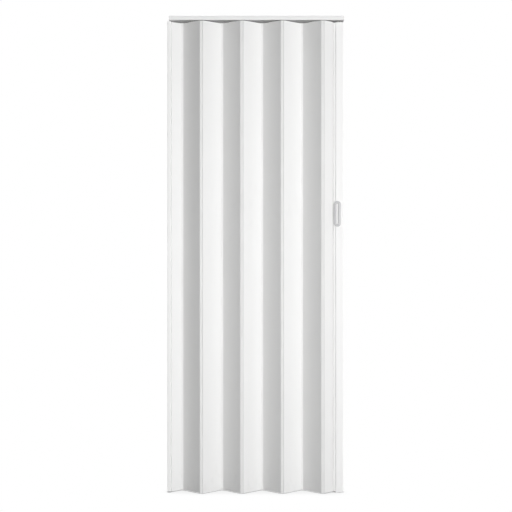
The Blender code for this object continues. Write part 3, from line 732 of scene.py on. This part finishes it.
def draw_slat(bm, span, sizes):
    """Hollow slat from pivot to pivot: a lipped socket at each end and cells between."""
    shoulder = HALF_SLAT / math.tan(math.radians(SOCKET_FROM))
    inner_from, outer_to = polar(SOCKET_RADIUS, SOCKET_FROM), polar(HALF_SLAT, SOCKET_TO)
    outline = Outline(bm, shoulder, HALF_SLAT)
    for turn, centre in ((1, 0), (-1, span)):
        if turn < 0:
            outline.line((centre - shoulder, -HALF_SLAT), fillet=sizes.slat_round)
        outline.line((centre + turn * inner_from[0], turn * inner_from[1]))
        outline.arc(centre, 0, SOCKET_TO - SOCKET_FROM - 360)
        outline.line((centre + turn * outer_to[0], turn * outer_to[1]), fillet=sizes.slat_round)
        outline.arc(centre, 0, 270 - SOCKET_TO)
    outline.close()

    inner = HALF_SLAT - SLAT_SKIN
    width = cell_width(span)
    for cell in range(SLAT_CELLS):
        left = HALF_SLAT + SLAT_SKIN + cell * (width + SLAT_SKIN)
        draw_box(bm, left, left + width, -inner, inner, sizes.die_round)


def draw_bead(outline, x, facing):
    """Round bead at x whose neck leaves along +x (facing 0) or -x (facing 180), drawn neck to neck."""
    half_angle = math.degrees(math.asin(HALF_NECK / BEAD_RADIUS))
    start = polar(BEAD_RADIUS, facing + half_angle)
    outline.line((x + start[0], start[1]))
    outline.arc(x, 0, 360 - 2 * half_angle)


def draw_fold_strip(bm, span, sizes):
    """Strip between two slats: bead, neck, rounded core, neck, bead."""
    near = HALF_SLAT + CORE_GAP
    far = span - near
    deep = CORE_DEPTH / 2
    outline = Outline(bm, near, HALF_NECK)
    draw_bead(outline, 0, 0)
    outline.line((near, -HALF_NECK)).line((near, -deep), (far, -deep), fillet=sizes.core_round)
    outline.line((far, -HALF_NECK))
    draw_bead(outline, span, 180)
    outline.line((far, HALF_NECK)).line((far, deep), (near, deep), fillet=sizes.core_round)
    outline.close()


def draw_post_strip(bm, reach, core_depth, sizes):
    """Strip that joins a post: bead, neck along +x, core if it has one, and a foot behind the post's face."""
    seat = reach + POST_WALL + CLEARANCE
    back = seat + FOOT_THICKNESS
    wide = FOOT_WIDTH / 2
    near, far, deep = HALF_SLAT + CORE_GAP, reach - CORE_GAP, core_depth / 2
    outline = Outline(bm, seat, HALF_NECK)
    if core_depth:
        outline.line((far, HALF_NECK)).line((far, deep), (near, deep), fillet=sizes.core_round)
        outline.line((near, HALF_NECK))
    draw_bead(outline, 0, 0)
    if core_depth:
        outline.line((near, -HALF_NECK)).line((near, -deep), (far, -deep), fillet=sizes.core_round)
        outline.line((far, -HALF_NECK))
    foot = [(seat, -wide), (back, -wide), (back, wide), (seat, wide)]
    outline.line((seat, -HALF_NECK)).line(*foot, fillet=sizes.die_round).close()
    if core_depth:
        inner = deep - LEAD_CORE_WALL
        draw_box(bm, near + LEAD_CORE_WALL, far - LEAD_CORE_WALL, -inner, inner, sizes.die_round)


def foot_slot(face, inward):
    """T-slot in a post's face, from its upper edge to its lower edge, going in along inward x."""
    inside = face + inward * POST_WALL
    deep = inside + inward * FOOT_ROOM
    mouth = HALF_NECK + CLEARANCE
    wide = FOOT_WIDTH / 2 + CLEARANCE
    upper = [(face, mouth), (inside, mouth), (inside, wide), (deep, wide)]
    return upper + across(upper)


def draw_head(outline, radius, foot, sizes):
    """Neck of a glide up to its head's foot, and the domed head up to the axis."""
    top = foot + GLIDE_HEAD
    outline.line((NECK_RADIUS, foot)).line((radius, foot), fillet=sizes.moulded_round)
    outline.line((radius, top), fillet=sizes.moulded_round * DOMED).line((0, top)).end()


# Operators

class DOOR_OT_track(Operator):
    """Build the overhead track with its screw holes and end stops"""
    bl_idname = "door.track"
    bl_label = "Track"

    def execute(self, context):
        sizes = context.scene.accordion_door.sizes
        low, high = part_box("top_track")

        def section(bm):
            half, foot, ceiling = high.y, low.z, -TRACK_WALL
            inner = CHANNEL_WIDTH / 2
            slot = TRACK_SLOT / 2
            lip = foot + TRACK_WALL
            channel = [(-slot, foot), (-slot, lip), (-inner, lip), (-inner, ceiling)]
            outline = Outline(bm, half / 2, foot)
            outline.line((half, foot), (half, 0), (-half, 0), (-half, foot), fillet=sizes.track_round)
            outline.line(*channel, *beside(channel), fillet=sizes.die_round).close()
            for side in (-1, 1):
                near, far = side * (inner + TRACK_WALL), side * (half - TRACK_WALL)
                draw_box(bm, near, far, lip, ceiling, sizes.die_round)

        rail = prism("track_rail", section, low.x, high.x, ALONG_X, "rail", "sawn")
        for x in evenly(low.x + TRACK_HOLE_INSET, high.x - TRACK_HOLE_INSET, TRACK_HOLES):
            place = Matrix.Translation((x, 0, 0))
            rail = carved(rail, turning("hole", lambda bm: countersunk(bm, 0, -TRACK_WALL), place, "rail"))
        piece(rail, "top_track")
        for side in ("left", "right"):
            self.stop(sizes, side)
        return {"FINISHED"}

    @staticmethod
    def stop(sizes, side):
        """Moulded plug in an end of the channel, split so that it springs against the walls."""
        node = f"track_stop_{side}"
        low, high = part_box(node)
        plug = block(f"track_end_stop_{side}", low, high, sizes.moulded_round * 2, UPRIGHT, "nylon")
        depth = (high.x - low.x) * SPLIT_SHARE
        start, end = (high.x - depth, high.x + REACH) if side == "left" else (low.x - REACH, low.x + depth)
        half = SPLIT_WIDTH / 2
        split = block("split", (start, -half, low.z - REACH), (end, half, high.z + REACH),
                      sizes.moulded_round, UPRIGHT, "nylon")
        piece(carved(plug, split), node)


class DOOR_OT_wall_end(Operator):
    """Build the wall strip, the post that clips over it and the strip in the post's slot"""
    bl_idname = "door.wall_end"
    bl_label = "Wall end"

    def execute(self, context):
        sizes = context.scene.accordion_door.sizes
        low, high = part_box("wall_strip")
        left = (low.x + high.x - SNAP_WIDTH) / 2
        ridge = (left, left + SNAP_WIDTH, high.y + CLEARANCE - SNAP_RIDGE)
        self.fixing_strip(sizes, ridge)
        self.post(sizes, ridge)
        self.fold_strip(sizes)
        return {"FINISHED"}

    @staticmethod
    def fixing_strip(sizes, ridge):
        """Strip screwed to the wall, with a groove down each side for the post's ridges."""
        low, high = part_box("wall_strip")
        left, right, floor = ridge[0] - CLEARANCE, ridge[1] + CLEARANCE, ridge[2] - CLEARANCE

        def section(bm):
            edge = [(high.x, high.y), (right, high.y), (right, floor), (left, floor), (left, high.y),
                    (low.x, high.y)]
            Outline(bm, high.x, 0).line(*edge, *across(edge), fillet=sizes.moulded_round).close()

        strip = prism("wall_fixing_strip", section, low.z, high.z, UPRIGHT, "post", "sawn")
        for z in evenly(low.z + STRIP_HOLE_INSET, high.z - STRIP_HOLE_INSET, STRIP_HOLES):
            place = Matrix.Translation((0, 0, z)) @ ALONG_X
            strip = carved(strip, turning("hole", lambda bm: countersunk(bm, low.x, high.x), place, "post"))
        piece(strip, "wall_strip")

    @staticmethod
    def post(sizes, ridge):
        """Cover that snaps over the strip, with a boss for the fold strip's foot."""
        low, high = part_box("wall_post")
        left, right, crest = ridge

        def section(bm):
            inner = high.y - POST_WALL
            web = high.x - POST_WALL
            slot = foot_slot(high.x, -1)[::-1]
            clip = [(low.x, high.y), (low.x, inner), (left, inner), (left, crest), (right, crest),
                    (right, inner), (web, inner), (web, BOSS_HALF), (high.x - BOSS_DEPTH, BOSS_HALF)]
            outline = Outline(bm, *slot[0]).line(*slot[1:])
            outline.line((high.x, high.y), fillet=sizes.post_round)
            outline.line(*clip, *across(clip), fillet=sizes.moulded_round)
            outline.line((high.x, -high.y), fillet=sizes.post_round).close()

        tall_piece("wall_post_cover", "wall_post", section, UPRIGHT, "post", "sawn")

    @staticmethod
    def fold_strip(sizes):
        """Strip between the post and the first slat."""
        pivot = PIVOTS["panel_1"]
        reach = pivot.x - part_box("wall_post")[1].x
        place = Matrix.Translation((pivot.x, pivot.y, 0)) @ Matrix.Rotation(math.pi, 4, "Z")
        tall_piece("wall_fold_strip", "wall_hinge_strip", lambda bm: draw_post_strip(bm, reach, 0, sizes),
                   place, "strip", "sawn")


class DOOR_OT_slats(Operator):
    """Build the hollow slats of the curtain"""
    bl_idname = "door.slats"
    bl_label = "Slats"

    def execute(self, context):
        sizes = context.scene.accordion_door.sizes
        for number in range(1, SLATS + 1):
            start, end = slat_ends(number)
            place = turned_about(start, end)
            if end.y < start.y:
                place = place @ OVER
            span = (end - start).length
            tall_piece(f"slat_{number}", f"panel_{number}", lambda bm: draw_slat(bm, span, sizes), place,
                       "slat", "sawn")
        return {"FINISHED"}


class DOOR_OT_fold_strips(Operator):
    """Build the flexible strips in the folds between the slats"""
    bl_idname = "door.fold_strips"
    bl_label = "Fold strips"

    def execute(self, context):
        sizes = context.scene.accordion_door.sizes
        for number in range(1, SLATS):
            node = f"hinge_{number}"
            start, end = PIVOTS[node], PIVOTS[f"panel_{number + 1}"]
            span = (end - start).length
            tall_piece(f"fold_strip_{number}", node, lambda bm: draw_fold_strip(bm, span, sizes),
                       turned_about(start, end), "strip", "sawn")
        return {"FINISHED"}


class DOOR_OT_glides(Operator):
    """Build the nylon glides that hang the slats and the closing post in the track"""
    bl_idname = "door.glides"
    bl_label = "Glides"

    def execute(self, context):
        sizes = context.scene.accordion_door.sizes
        head_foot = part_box("top_track")[0].z + TRACK_WALL + CLEARANCE
        for number in range(2, SLATS, 2):
            self.slat_glide(sizes, number, head_foot)
        for side in ("inner", "outer"):
            self.stud(sizes, side, head_foot)
        return {"FINISHED"}

    @staticmethod
    def slat_glide(sizes, number, head_foot):
        """Two flat legs in a slat's middle cell, a collar on the slat and a head in the track."""
        start, end = slat_ends(number)
        span = (end - start).length
        place = turned_about(start, end) @ Matrix.Translation((span / 2, 0, 0))
        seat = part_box(f"panel_{number}")[1].z + CLEARANCE
        top = seat + COLLAR_THICKNESS
        thick = HALF_SLAT - SLAT_SKIN - CLEARANCE
        reach = cell_width(span) / 2 - CLEARANCE
        rim = SLAT_SKIN
        made = block(f"slat_glide_{number}", (-reach - rim, -thick - rim, seat),
                     (reach + rim, thick + rim, top), sizes.moulded_round, place, "nylon")
        for side in (-1, 1):
            near, far = sorted((side * reach, side * reach * (1 - LEG_SHARE)))
            leg = block("leg", (near, -thick, seat - GLIDE_PLUG), (far, thick, top - rim / 2),
                        sizes.moulded_round, place, "nylon")
            made = carved(made, leg, "UNION")

        def hanger(bm):
            foot = seat + rim / 2
            draw_head(Outline(bm, 0, foot).line((NECK_RADIUS, foot)), HEAD_RADIUS, head_foot, sizes)

        piece(carved(made, turning("hanger", hanger, place, "nylon"), "UNION"), f"glide_{number}")

    @staticmethod
    def stud(sizes, side, head_foot):
        """Turned stud in the closing post's top plug."""
        node = f"lead_glide_{side}"
        low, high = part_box(node)
        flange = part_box("lead_post_top_cap")[1].z + CLEARANCE
        collar = flange + COLLAR_THICKNESS
        rim = STUD_RADIUS + NECK_RADIUS

        def outline(bm):
            shape = Outline(bm, 0, low.z).line((STUD_RADIUS, low.z), fillet=sizes.moulded_round * 2)
            shape.line((STUD_RADIUS, flange)).line((rim, flange), (rim, collar), fillet=sizes.moulded_round)
            draw_head(shape.line((NECK_RADIUS, collar)), (high.x - low.x) / 2, head_foot, sizes)

        place = Matrix.Translation(((low.x + high.x) / 2, (low.y + high.y) / 2, 0))
        piece(turning(f"closing_post_glide_{side}", outline, place, "nylon"), node)


class DOOR_OT_closing_post(Operator):
    """Build the closing post with its end plugs, fold strip and magnet"""
    bl_idname = "door.closing_post"
    bl_label = "Closing post"

    def execute(self, context):
        sizes = context.scene.accordion_door.sizes
        low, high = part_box("lead_post")
        seat = high.x - MAGNET_ROOM
        magnet_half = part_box("magnet_strip")[1].y + CLEARANCE
        inner = high.y - POST_WALL

        def section(bm):
            rest = [(seat, magnet_half), (high.x, magnet_half)]
            outline = Outline(bm, seat, 0).line(*rest, fillet=sizes.moulded_round)
            outline.line((high.x, high.y), (low.x, high.y), fillet=sizes.post_round)
            outline.line(*foot_slot(low.x, 1))
            outline.line((low.x, -high.y), (high.x, -high.y), fillet=sizes.post_round)
            outline.line(*across(rest), fillet=sizes.moulded_round).close()

            web, closing = low.x + POST_WALL, high.x - POST_WALL
            boss = magnet_half + BOSS_WALL
            core = [(seat - BOSS_WALL, boss), (closing, boss), (closing, inner), (web, inner),
                    (web, BOSS_HALF), (low.x + BOSS_DEPTH, BOSS_HALF)]
            Outline(bm, seat - BOSS_WALL, 0).line(*core, *across(core), fillet=sizes.die_round).close()

        def bore(bm):
            plain_bore(bm, SCREW_RADIUS, low.y - REACH, high.y + REACH)

        post = prism("closing_post", section, low.z, high.z, UPRIGHT, "post", "sawn")
        for side in ("lower", "upper"):
            place = through_post(*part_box(f"handle_screw_{side}"))
            post = carved(post, turning("hole", bore, place, "post"))
        piece(post, "lead_post")

        plug_low = (low.x + BOSS_DEPTH + CLEARANCE, CLEARANCE - inner)
        plug_high = (seat - BOSS_WALL - CLEARANCE, inner - CLEARANCE)
        for side in ("top", "bottom"):
            self.end_plug(sizes, side, plug_low, plug_high)
        self.fold_strip(sizes)
        self.magnet(sizes)
        return {"FINISHED"}

    def end_plug(self, sizes, side, plug_low, plug_high):
        """Cover plate on the post's end with a plug inside the post."""
        node = f"lead_post_{side}_cap"
        low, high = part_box(node)
        rise = -1 if side == "top" else 1
        outer_face = high.z if side == "top" else low.z
        inner_face = outer_face + rise * CAP_THICKNESS
        plug_end = inner_face + rise * (CAP_PLUG + CLEARANCE)

        def plate(bm):
            draw_box(bm, low.x, high.x, low.y, high.y, sizes.post_round)

        made = prism(f"closing_post_{side}_plug", plate, *sorted((outer_face, inner_face)), UPRIGHT, "post")
        deep, shallow = sorted((inner_face - rise * CAP_THICKNESS / 2, plug_end))
        plug = block("plug", (*plug_low, deep), (*plug_high, shallow), sizes.post_round / 2, UPRIGHT, "post")
        made = carved(made, plug, "UNION")
        if side == "top":
            tools = self.stud_bores(outer_face)
        else:
            tools = self.pockets(sizes, plug_low, plug_high, inner_face)
        for tool in tools:
            made = carved(made, tool)
        piece(made, node)

    @staticmethod
    def stud_bores(top):
        """Tools for the blind holes of the glide studs."""
        tools = []
        for name in ("inner", "outer"):
            low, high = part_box(f"lead_glide_{name}")
            foot = low.z - CLEARANCE
            place = Matrix.Translation(((low.x + high.x) / 2, 0, 0))
            tools.append(turning("bore", lambda bm: plain_bore(bm, STUD_RADIUS, foot, top + REACH), place,
                                 "post"))
        return tools

    @staticmethod
    def pockets(sizes, plug_low, plug_high, floor):
        """Tools that hollow the bottom plug on both sides of a rib."""
        split = (plug_low[0] + plug_high[0]) / 2
        sides = ((plug_low[0] + POST_WALL, split - POST_WALL / 2),
                 (split + POST_WALL / 2, plug_high[0] - POST_WALL))
        front, back = plug_low[1] + POST_WALL, plug_high[1] - POST_WALL
        foot, top = floor + POST_WALL, floor + CAP_PLUG + REACH
        return [block("pocket", (left, front, foot), (right, back, top), sizes.moulded_round * 2, UPRIGHT,
                      "post") for left, right in sides]

    @staticmethod
    def fold_strip(sizes):
        """Strip between the last slat and the post, with a hollow core."""
        pivot = PIVOTS["lead_post"]
        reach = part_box("lead_post")[0].x - pivot.x
        tall_piece("closing_fold_strip", "lead_hinge_strip",
                   lambda bm: draw_post_strip(bm, reach, LEAD_CORE_DEPTH, sizes),
                   Matrix.Translation((pivot.x, pivot.y, 0)), "strip", "sawn")

    @staticmethod
    def magnet(sizes):
        """Magnet with two shallow grooves down its face."""
        low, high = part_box("magnet_strip")
        groove = sizes.moulded_round

        def section(bm):
            outline = Outline(bm, low.x, 0).line((low.x, low.y), (high.x, low.y), fillet=sizes.moulded_round)
            for y in (low.y / 3, high.y / 3):
                outline.line((high.x, y - groove), (high.x - groove, y), (high.x, y + groove))
            outline.line((high.x, high.y), (low.x, high.y), fillet=sizes.moulded_round).close()

        tall_piece("closing_magnet", "magnet_strip", section, UPRIGHT, "magnet")


class DOOR_OT_ring_pulls(Operator):
    """Build the ring pulls on both faces of the closing post and the screws that join them"""
    bl_idname = "door.ring_pulls"
    bl_label = "Ring pulls"

    def execute(self, context):
        sizes = context.scene.accordion_door.sizes
        screws = {name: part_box(f"handle_screw_{name}") for name in ("lower", "upper")}
        piece(self.ring(sizes, "front"), "handle_front")
        back = self.ring(sizes, "back")
        for low, high in screws.values():
            back = carved(back, self.sink(sizes, low, high))
        piece(back, "handle_back")
        for name, (low, high) in screws.items():
            piece(self.screw(sizes, name, low, high), f"handle_screw_{name}")
        return {"FINISHED"}

    @staticmethod
    def ring(sizes, side):
        """Rounded limb swept round an upright slot; the front pull's face falls towards its edge."""
        low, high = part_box(f"handle_{side}")
        half = (high.x - low.x) / 2
        slot = GRIP_WIDTH / 2
        thick = high.y - low.y
        edge = thick - sizes.pull_fall if side == "front" else thick
        bm = bmesh.new()
        outline = Outline(bm, (half + slot) / 2, 0).line((half, 0), fillet=sizes.moulded_round)
        outline.line((half, edge), fillet=min(sizes.pull_round, edge * RIM_ROUND))
        outline.line((slot, thick), fillet=sizes.grip_round)
        outline.line((slot, 0), fillet=sizes.moulded_round).close()

        rise = Vector((0, 0, ((high.z - low.z) / 2 - half) * DRAW_SCALE))
        bmesh.ops.translate(bm, vec=-rise, verts=bm.verts)
        steps = 2 * math.ceil(90 / sizes.arc_step)
        rim = bm.edges[:]
        for way in (1, -1):
            grown = bmesh.ops.extrude_edge_only(bm, edges=rim)["geom"]
            bmesh.ops.translate(bm, vec=2 * way * rise, verts=only(bmesh.types.BMVert, grown))
            chain = only((bmesh.types.BMVert, bmesh.types.BMEdge), grown)
            bend = bmesh.ops.spin(bm, geom=chain, cent=way * rise, axis=(0, -1, 0), angle=math.pi,
                                  steps=steps)
            rim = only(bmesh.types.BMEdge, bend["geom_last"])
        bmesh.ops.remove_doubles(bm, verts=bm.verts, dist=MERGE)
        seat = low.y if side == "back" else high.y
        place = Matrix.Translation(((low.x + high.x) / 2, seat, (low.z + high.z) / 2))
        if side == "front":
            place = place @ OVER
        return made_mesh(bm, f"ring_pull_{side}", place, "pull")

    @staticmethod
    def sink(sizes, low, high):
        """Tool for a screw's stepped hole in the back pull, turned so that its facets cross the ring's."""
        shank = SCREW_RADIUS + CLEARANCE
        head = SCREW_HEAD_RADIUS + CLEARANCE
        ledge = high.y - SCREW_HEAD - CLEARANCE
        start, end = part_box("handle_back")[0].y - REACH, high.y + 2 * REACH
        place = through_post(low, high) @ Matrix.Rotation(math.pi / sizes.turn_steps, 4, "Z")
        steps = [(head, -end), (head, -ledge), (shank, -ledge), (shank, -start), (0, -start)]
        return turning("sink", lambda bm: Outline(bm, 0, -end).line(*steps).end(), place, "pull")

    @staticmethod
    def screw(sizes, name, low, high):
        """Screw with a domed head, a cross recess and a cut thread."""
        seat, tip = SCREW_HEAD - high.y, -low.y
        root = SCREW_RADIUS * THREAD_ROOT
        flank = THREAD_FLANK * THREAD_PITCH
        turns = int((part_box("handle_back")[0].y - low.y) / THREAD_PITCH)

        def outline(bm):
            shape = Outline(bm, 0, -high.y).line((SCREW_HEAD_RADIUS * DOME_FLAT, -high.y))
            shape.line((SCREW_HEAD_RADIUS, -high.y), fillet=SCREW_HEAD * DOME_ROUND)
            shape.line((SCREW_HEAD_RADIUS, seat), (root, seat))
            for turn in range(turns, 0, -1):
                crest = tip - turn * THREAD_PITCH
                shape.line((root, crest - flank), (SCREW_RADIUS, crest), (root, crest + flank))
            shape.line((root, tip), fillet=sizes.moulded_round).line((0, tip)).end()

        made = turning(f"pull_screw_{name}", outline, through_post(low, high), "steel")
        x, z = (low.x + high.x) / 2, (low.z + high.z) / 2
        arm, floor = SCREW_HEAD_RADIUS * CROSS_ARM, high.y - SCREW_HEAD * CROSS_DEPTH
        for wide, tall in ((arm, CROSS_HALF), (CROSS_HALF, arm)):
            tool = block("cross", (x - wide, floor, z - tall), (x + wide, high.y + REACH, z + tall),
                         CROSS_HALF / 3, UPRIGHT, "steel")
            made = carved(made, tool)
        return made


class DOOR_OT_studio(Operator):
    """Build the floor, the lights, the surroundings and the camera"""
    bl_idname = "door.studio"
    bl_label = "Studio"

    def execute(self, context):
        look = context.scene.accordion_door
        studio = look.studio
        self.floor(look)
        self.surroundings(context.scene, studio)
        aim = Vector((0, 0, -studio.key_depth))
        towards = Vector((math.sin(studio.key_azimuth), -math.cos(studio.key_azimuth), 0))
        self.soft_box("key_box", aim + towards * studio.key_distance, aim, studio.key_power, KEY_SIZE,
                      studio.key_spread)
        aim = Vector((FRONT_SIDE, 0, -studio.front_depth))
        self.soft_box("front_box", aim - Vector((0, studio.front_distance, 0)), aim, studio.front_power,
                      FRONT_SIZE, math.pi)
        aim = Vector((0, 0, (CAD_BOX[0].z + CAD_BOX[1].z) / 2))
        self.soft_box("back_box", BACK_PLACE, aim, studio.back_power, BACK_SIZE, math.pi)
        self.camera(context.scene, studio)
        context.scene.view_settings.view_transform = "Standard"
        return {"FINISHED"}

    @staticmethod
    def seen(tree):
        """1 where the camera, a mirror or clear plastic looks at the background, else 0."""
        path = add_node(tree, "ShaderNodeLightPath").outputs
        mirrored = math_node(tree, "MAXIMUM", path["Is Glossy Ray"], path["Is Transmission Ray"])
        return math_node(tree, "MAXIMUM", path["Is Camera Ray"], mirrored)

    def floor(self, look):
        """Pale floor that holds the contact shadow and turns white away from the door."""
        bm = bmesh.new()
        bmesh.ops.create_circle(bm, cap_ends=True, segments=FLOOR_SIDES, radius=FLOOR_RADIUS)
        bmesh.ops.translate(bm, vec=(0, 0, CAD_BOX[0].z), verts=bm.verts)
        mesh = bpy.data.meshes.new("studio_floor")
        bm.to_mesh(mesh)
        bm.free()
        item = bpy.data.objects.new("studio_floor", mesh)
        bpy.context.scene.collection.objects.link(item)

        made = bpy.data.materials.new("Studio floor")
        made.use_nodes = True
        tree = made.node_tree
        tree.nodes.clear()
        point = add_node(tree, "ShaderNodeTexCoord").outputs["Object"]
        mottle = noise(tree, point, 30.0, 3.0)
        colour = shaded(tree, mottle, look.colours.floor, 0.98, 1.02)
        matt = add_node(tree, "ShaderNodeBsdfDiffuse", {"Color": colour}).outputs["BSDF"]
        glow = add_node(tree, "ShaderNodeEmission", {"Strength": 1.0}).outputs["Emission"]
        clear = remap(tree, open_air(tree, look.studio.contact_reach), *CONTACT_SPAN, 0.0, 1.0)
        shade = open_air(tree, look.studio.shade_reach)
        white = remap(tree, shade, *SHADE_SPAN, look.studio.floor_glow, 1.0)
        share = math_node(tree, "MULTIPLY", self.seen(tree), math_node(tree, "MULTIPLY", white, clear))
        both = add_node(tree, "ShaderNodeMixShader", {0: share, 1: matt, 2: glow}).outputs["Shader"]
        add_node(tree, "ShaderNodeOutputMaterial", {"Surface": both})
        mesh.materials.append(made)

    def surroundings(self, scene, studio):
        """White where it is seen, and a plain even light elsewhere."""
        world = bpy.data.worlds.new("Studio")
        world.use_nodes = True
        tree = world.node_tree
        tree.nodes.clear()
        strength = add_node(tree, "ShaderNodeMix", {0: self.seen(tree), 2: studio.ambient, 3: 1.0}).outputs[0]
        light = add_node(tree, "ShaderNodeBackground", {"Color": (1, 1, 1, 1), "Strength": strength})
        add_node(tree, "ShaderNodeOutputWorld", {"Surface": light.outputs["Background"]})
        scene.world = world

    @staticmethod
    def soft_box(name, place, target, power, size, spread):
        lamp = bpy.data.lights.new(name, "AREA")
        lamp.shape = "RECTANGLE"
        lamp.size, lamp.size_y = size
        lamp.energy = power
        lamp.spread = spread
        item = bpy.data.objects.new(name, lamp)
        item.location = place
        item.rotation_euler = (target - place).to_track_quat("-Z", "Y").to_euler()
        bpy.context.scene.collection.objects.link(item)

    @staticmethod
    def camera(scene, studio):
        """Level camera in front of the door; the shift sets eye level above the picture's middle."""
        lens = bpy.data.cameras.new("camera")
        lens.lens = lens.sensor_width * studio.camera_distance / studio.view_width
        lens.shift_y = studio.eye_shift
        front = min(pivot.y for pivot in PIVOTS.values())
        eye = -studio.view_centre - studio.eye_shift * studio.view_width
        item = bpy.data.objects.new("camera", lens)
        item.location = (-studio.view_offset, front - studio.camera_distance, eye)
        item.rotation_euler = (math.radians(90), 0, 0)
        scene.collection.objects.link(item)
        scene.camera = item


class DOOR_PT_panel(Panel):
    """Door settings and builders in the 3D view's sidebar"""
    bl_idname = "DOOR_PT_panel"
    bl_label = "Accordion door"
    bl_space_type = "VIEW_3D"
    bl_region_type = "UI"
    bl_category = "Door"

    def draw(self, context):
        look = context.scene.accordion_door
        for settings in (look.sizes, look.colours, look.studio):
            box = self.layout.box()
            for name in settings.__annotations__:
                box.prop(settings, name)
        for operator in OPERATORS:
            self.layout.operator(operator.bl_idname)


OPERATORS = (DOOR_OT_track, DOOR_OT_wall_end, DOOR_OT_slats, DOOR_OT_fold_strips, DOOR_OT_glides,
             DOOR_OT_closing_post, DOOR_OT_ring_pulls, DOOR_OT_studio)
CLASSES = (DoorSizes, DoorColours, DoorStudio, DoorLook, *OPERATORS, DOOR_PT_panel)


def register():
    for item in CLASSES:
        bpy.utils.register_class(item)
    bpy.types.Scene.accordion_door = PointerProperty(type=DoorLook, name="Accordion door",
                                                     description="Settings of the accordion door")


def unregister():
    del bpy.types.Scene.accordion_door
    for item in reversed(CLASSES):
        bpy.utils.unregister_class(item)


def main():
    register()
    bpy.ops.door.track()
    bpy.ops.door.wall_end()
    bpy.ops.door.slats()
    bpy.ops.door.fold_strips()
    bpy.ops.door.glides()
    bpy.ops.door.closing_post()
    bpy.ops.door.ring_pulls()
    bpy.ops.door.studio()


if __name__ == "__main__":
    main()
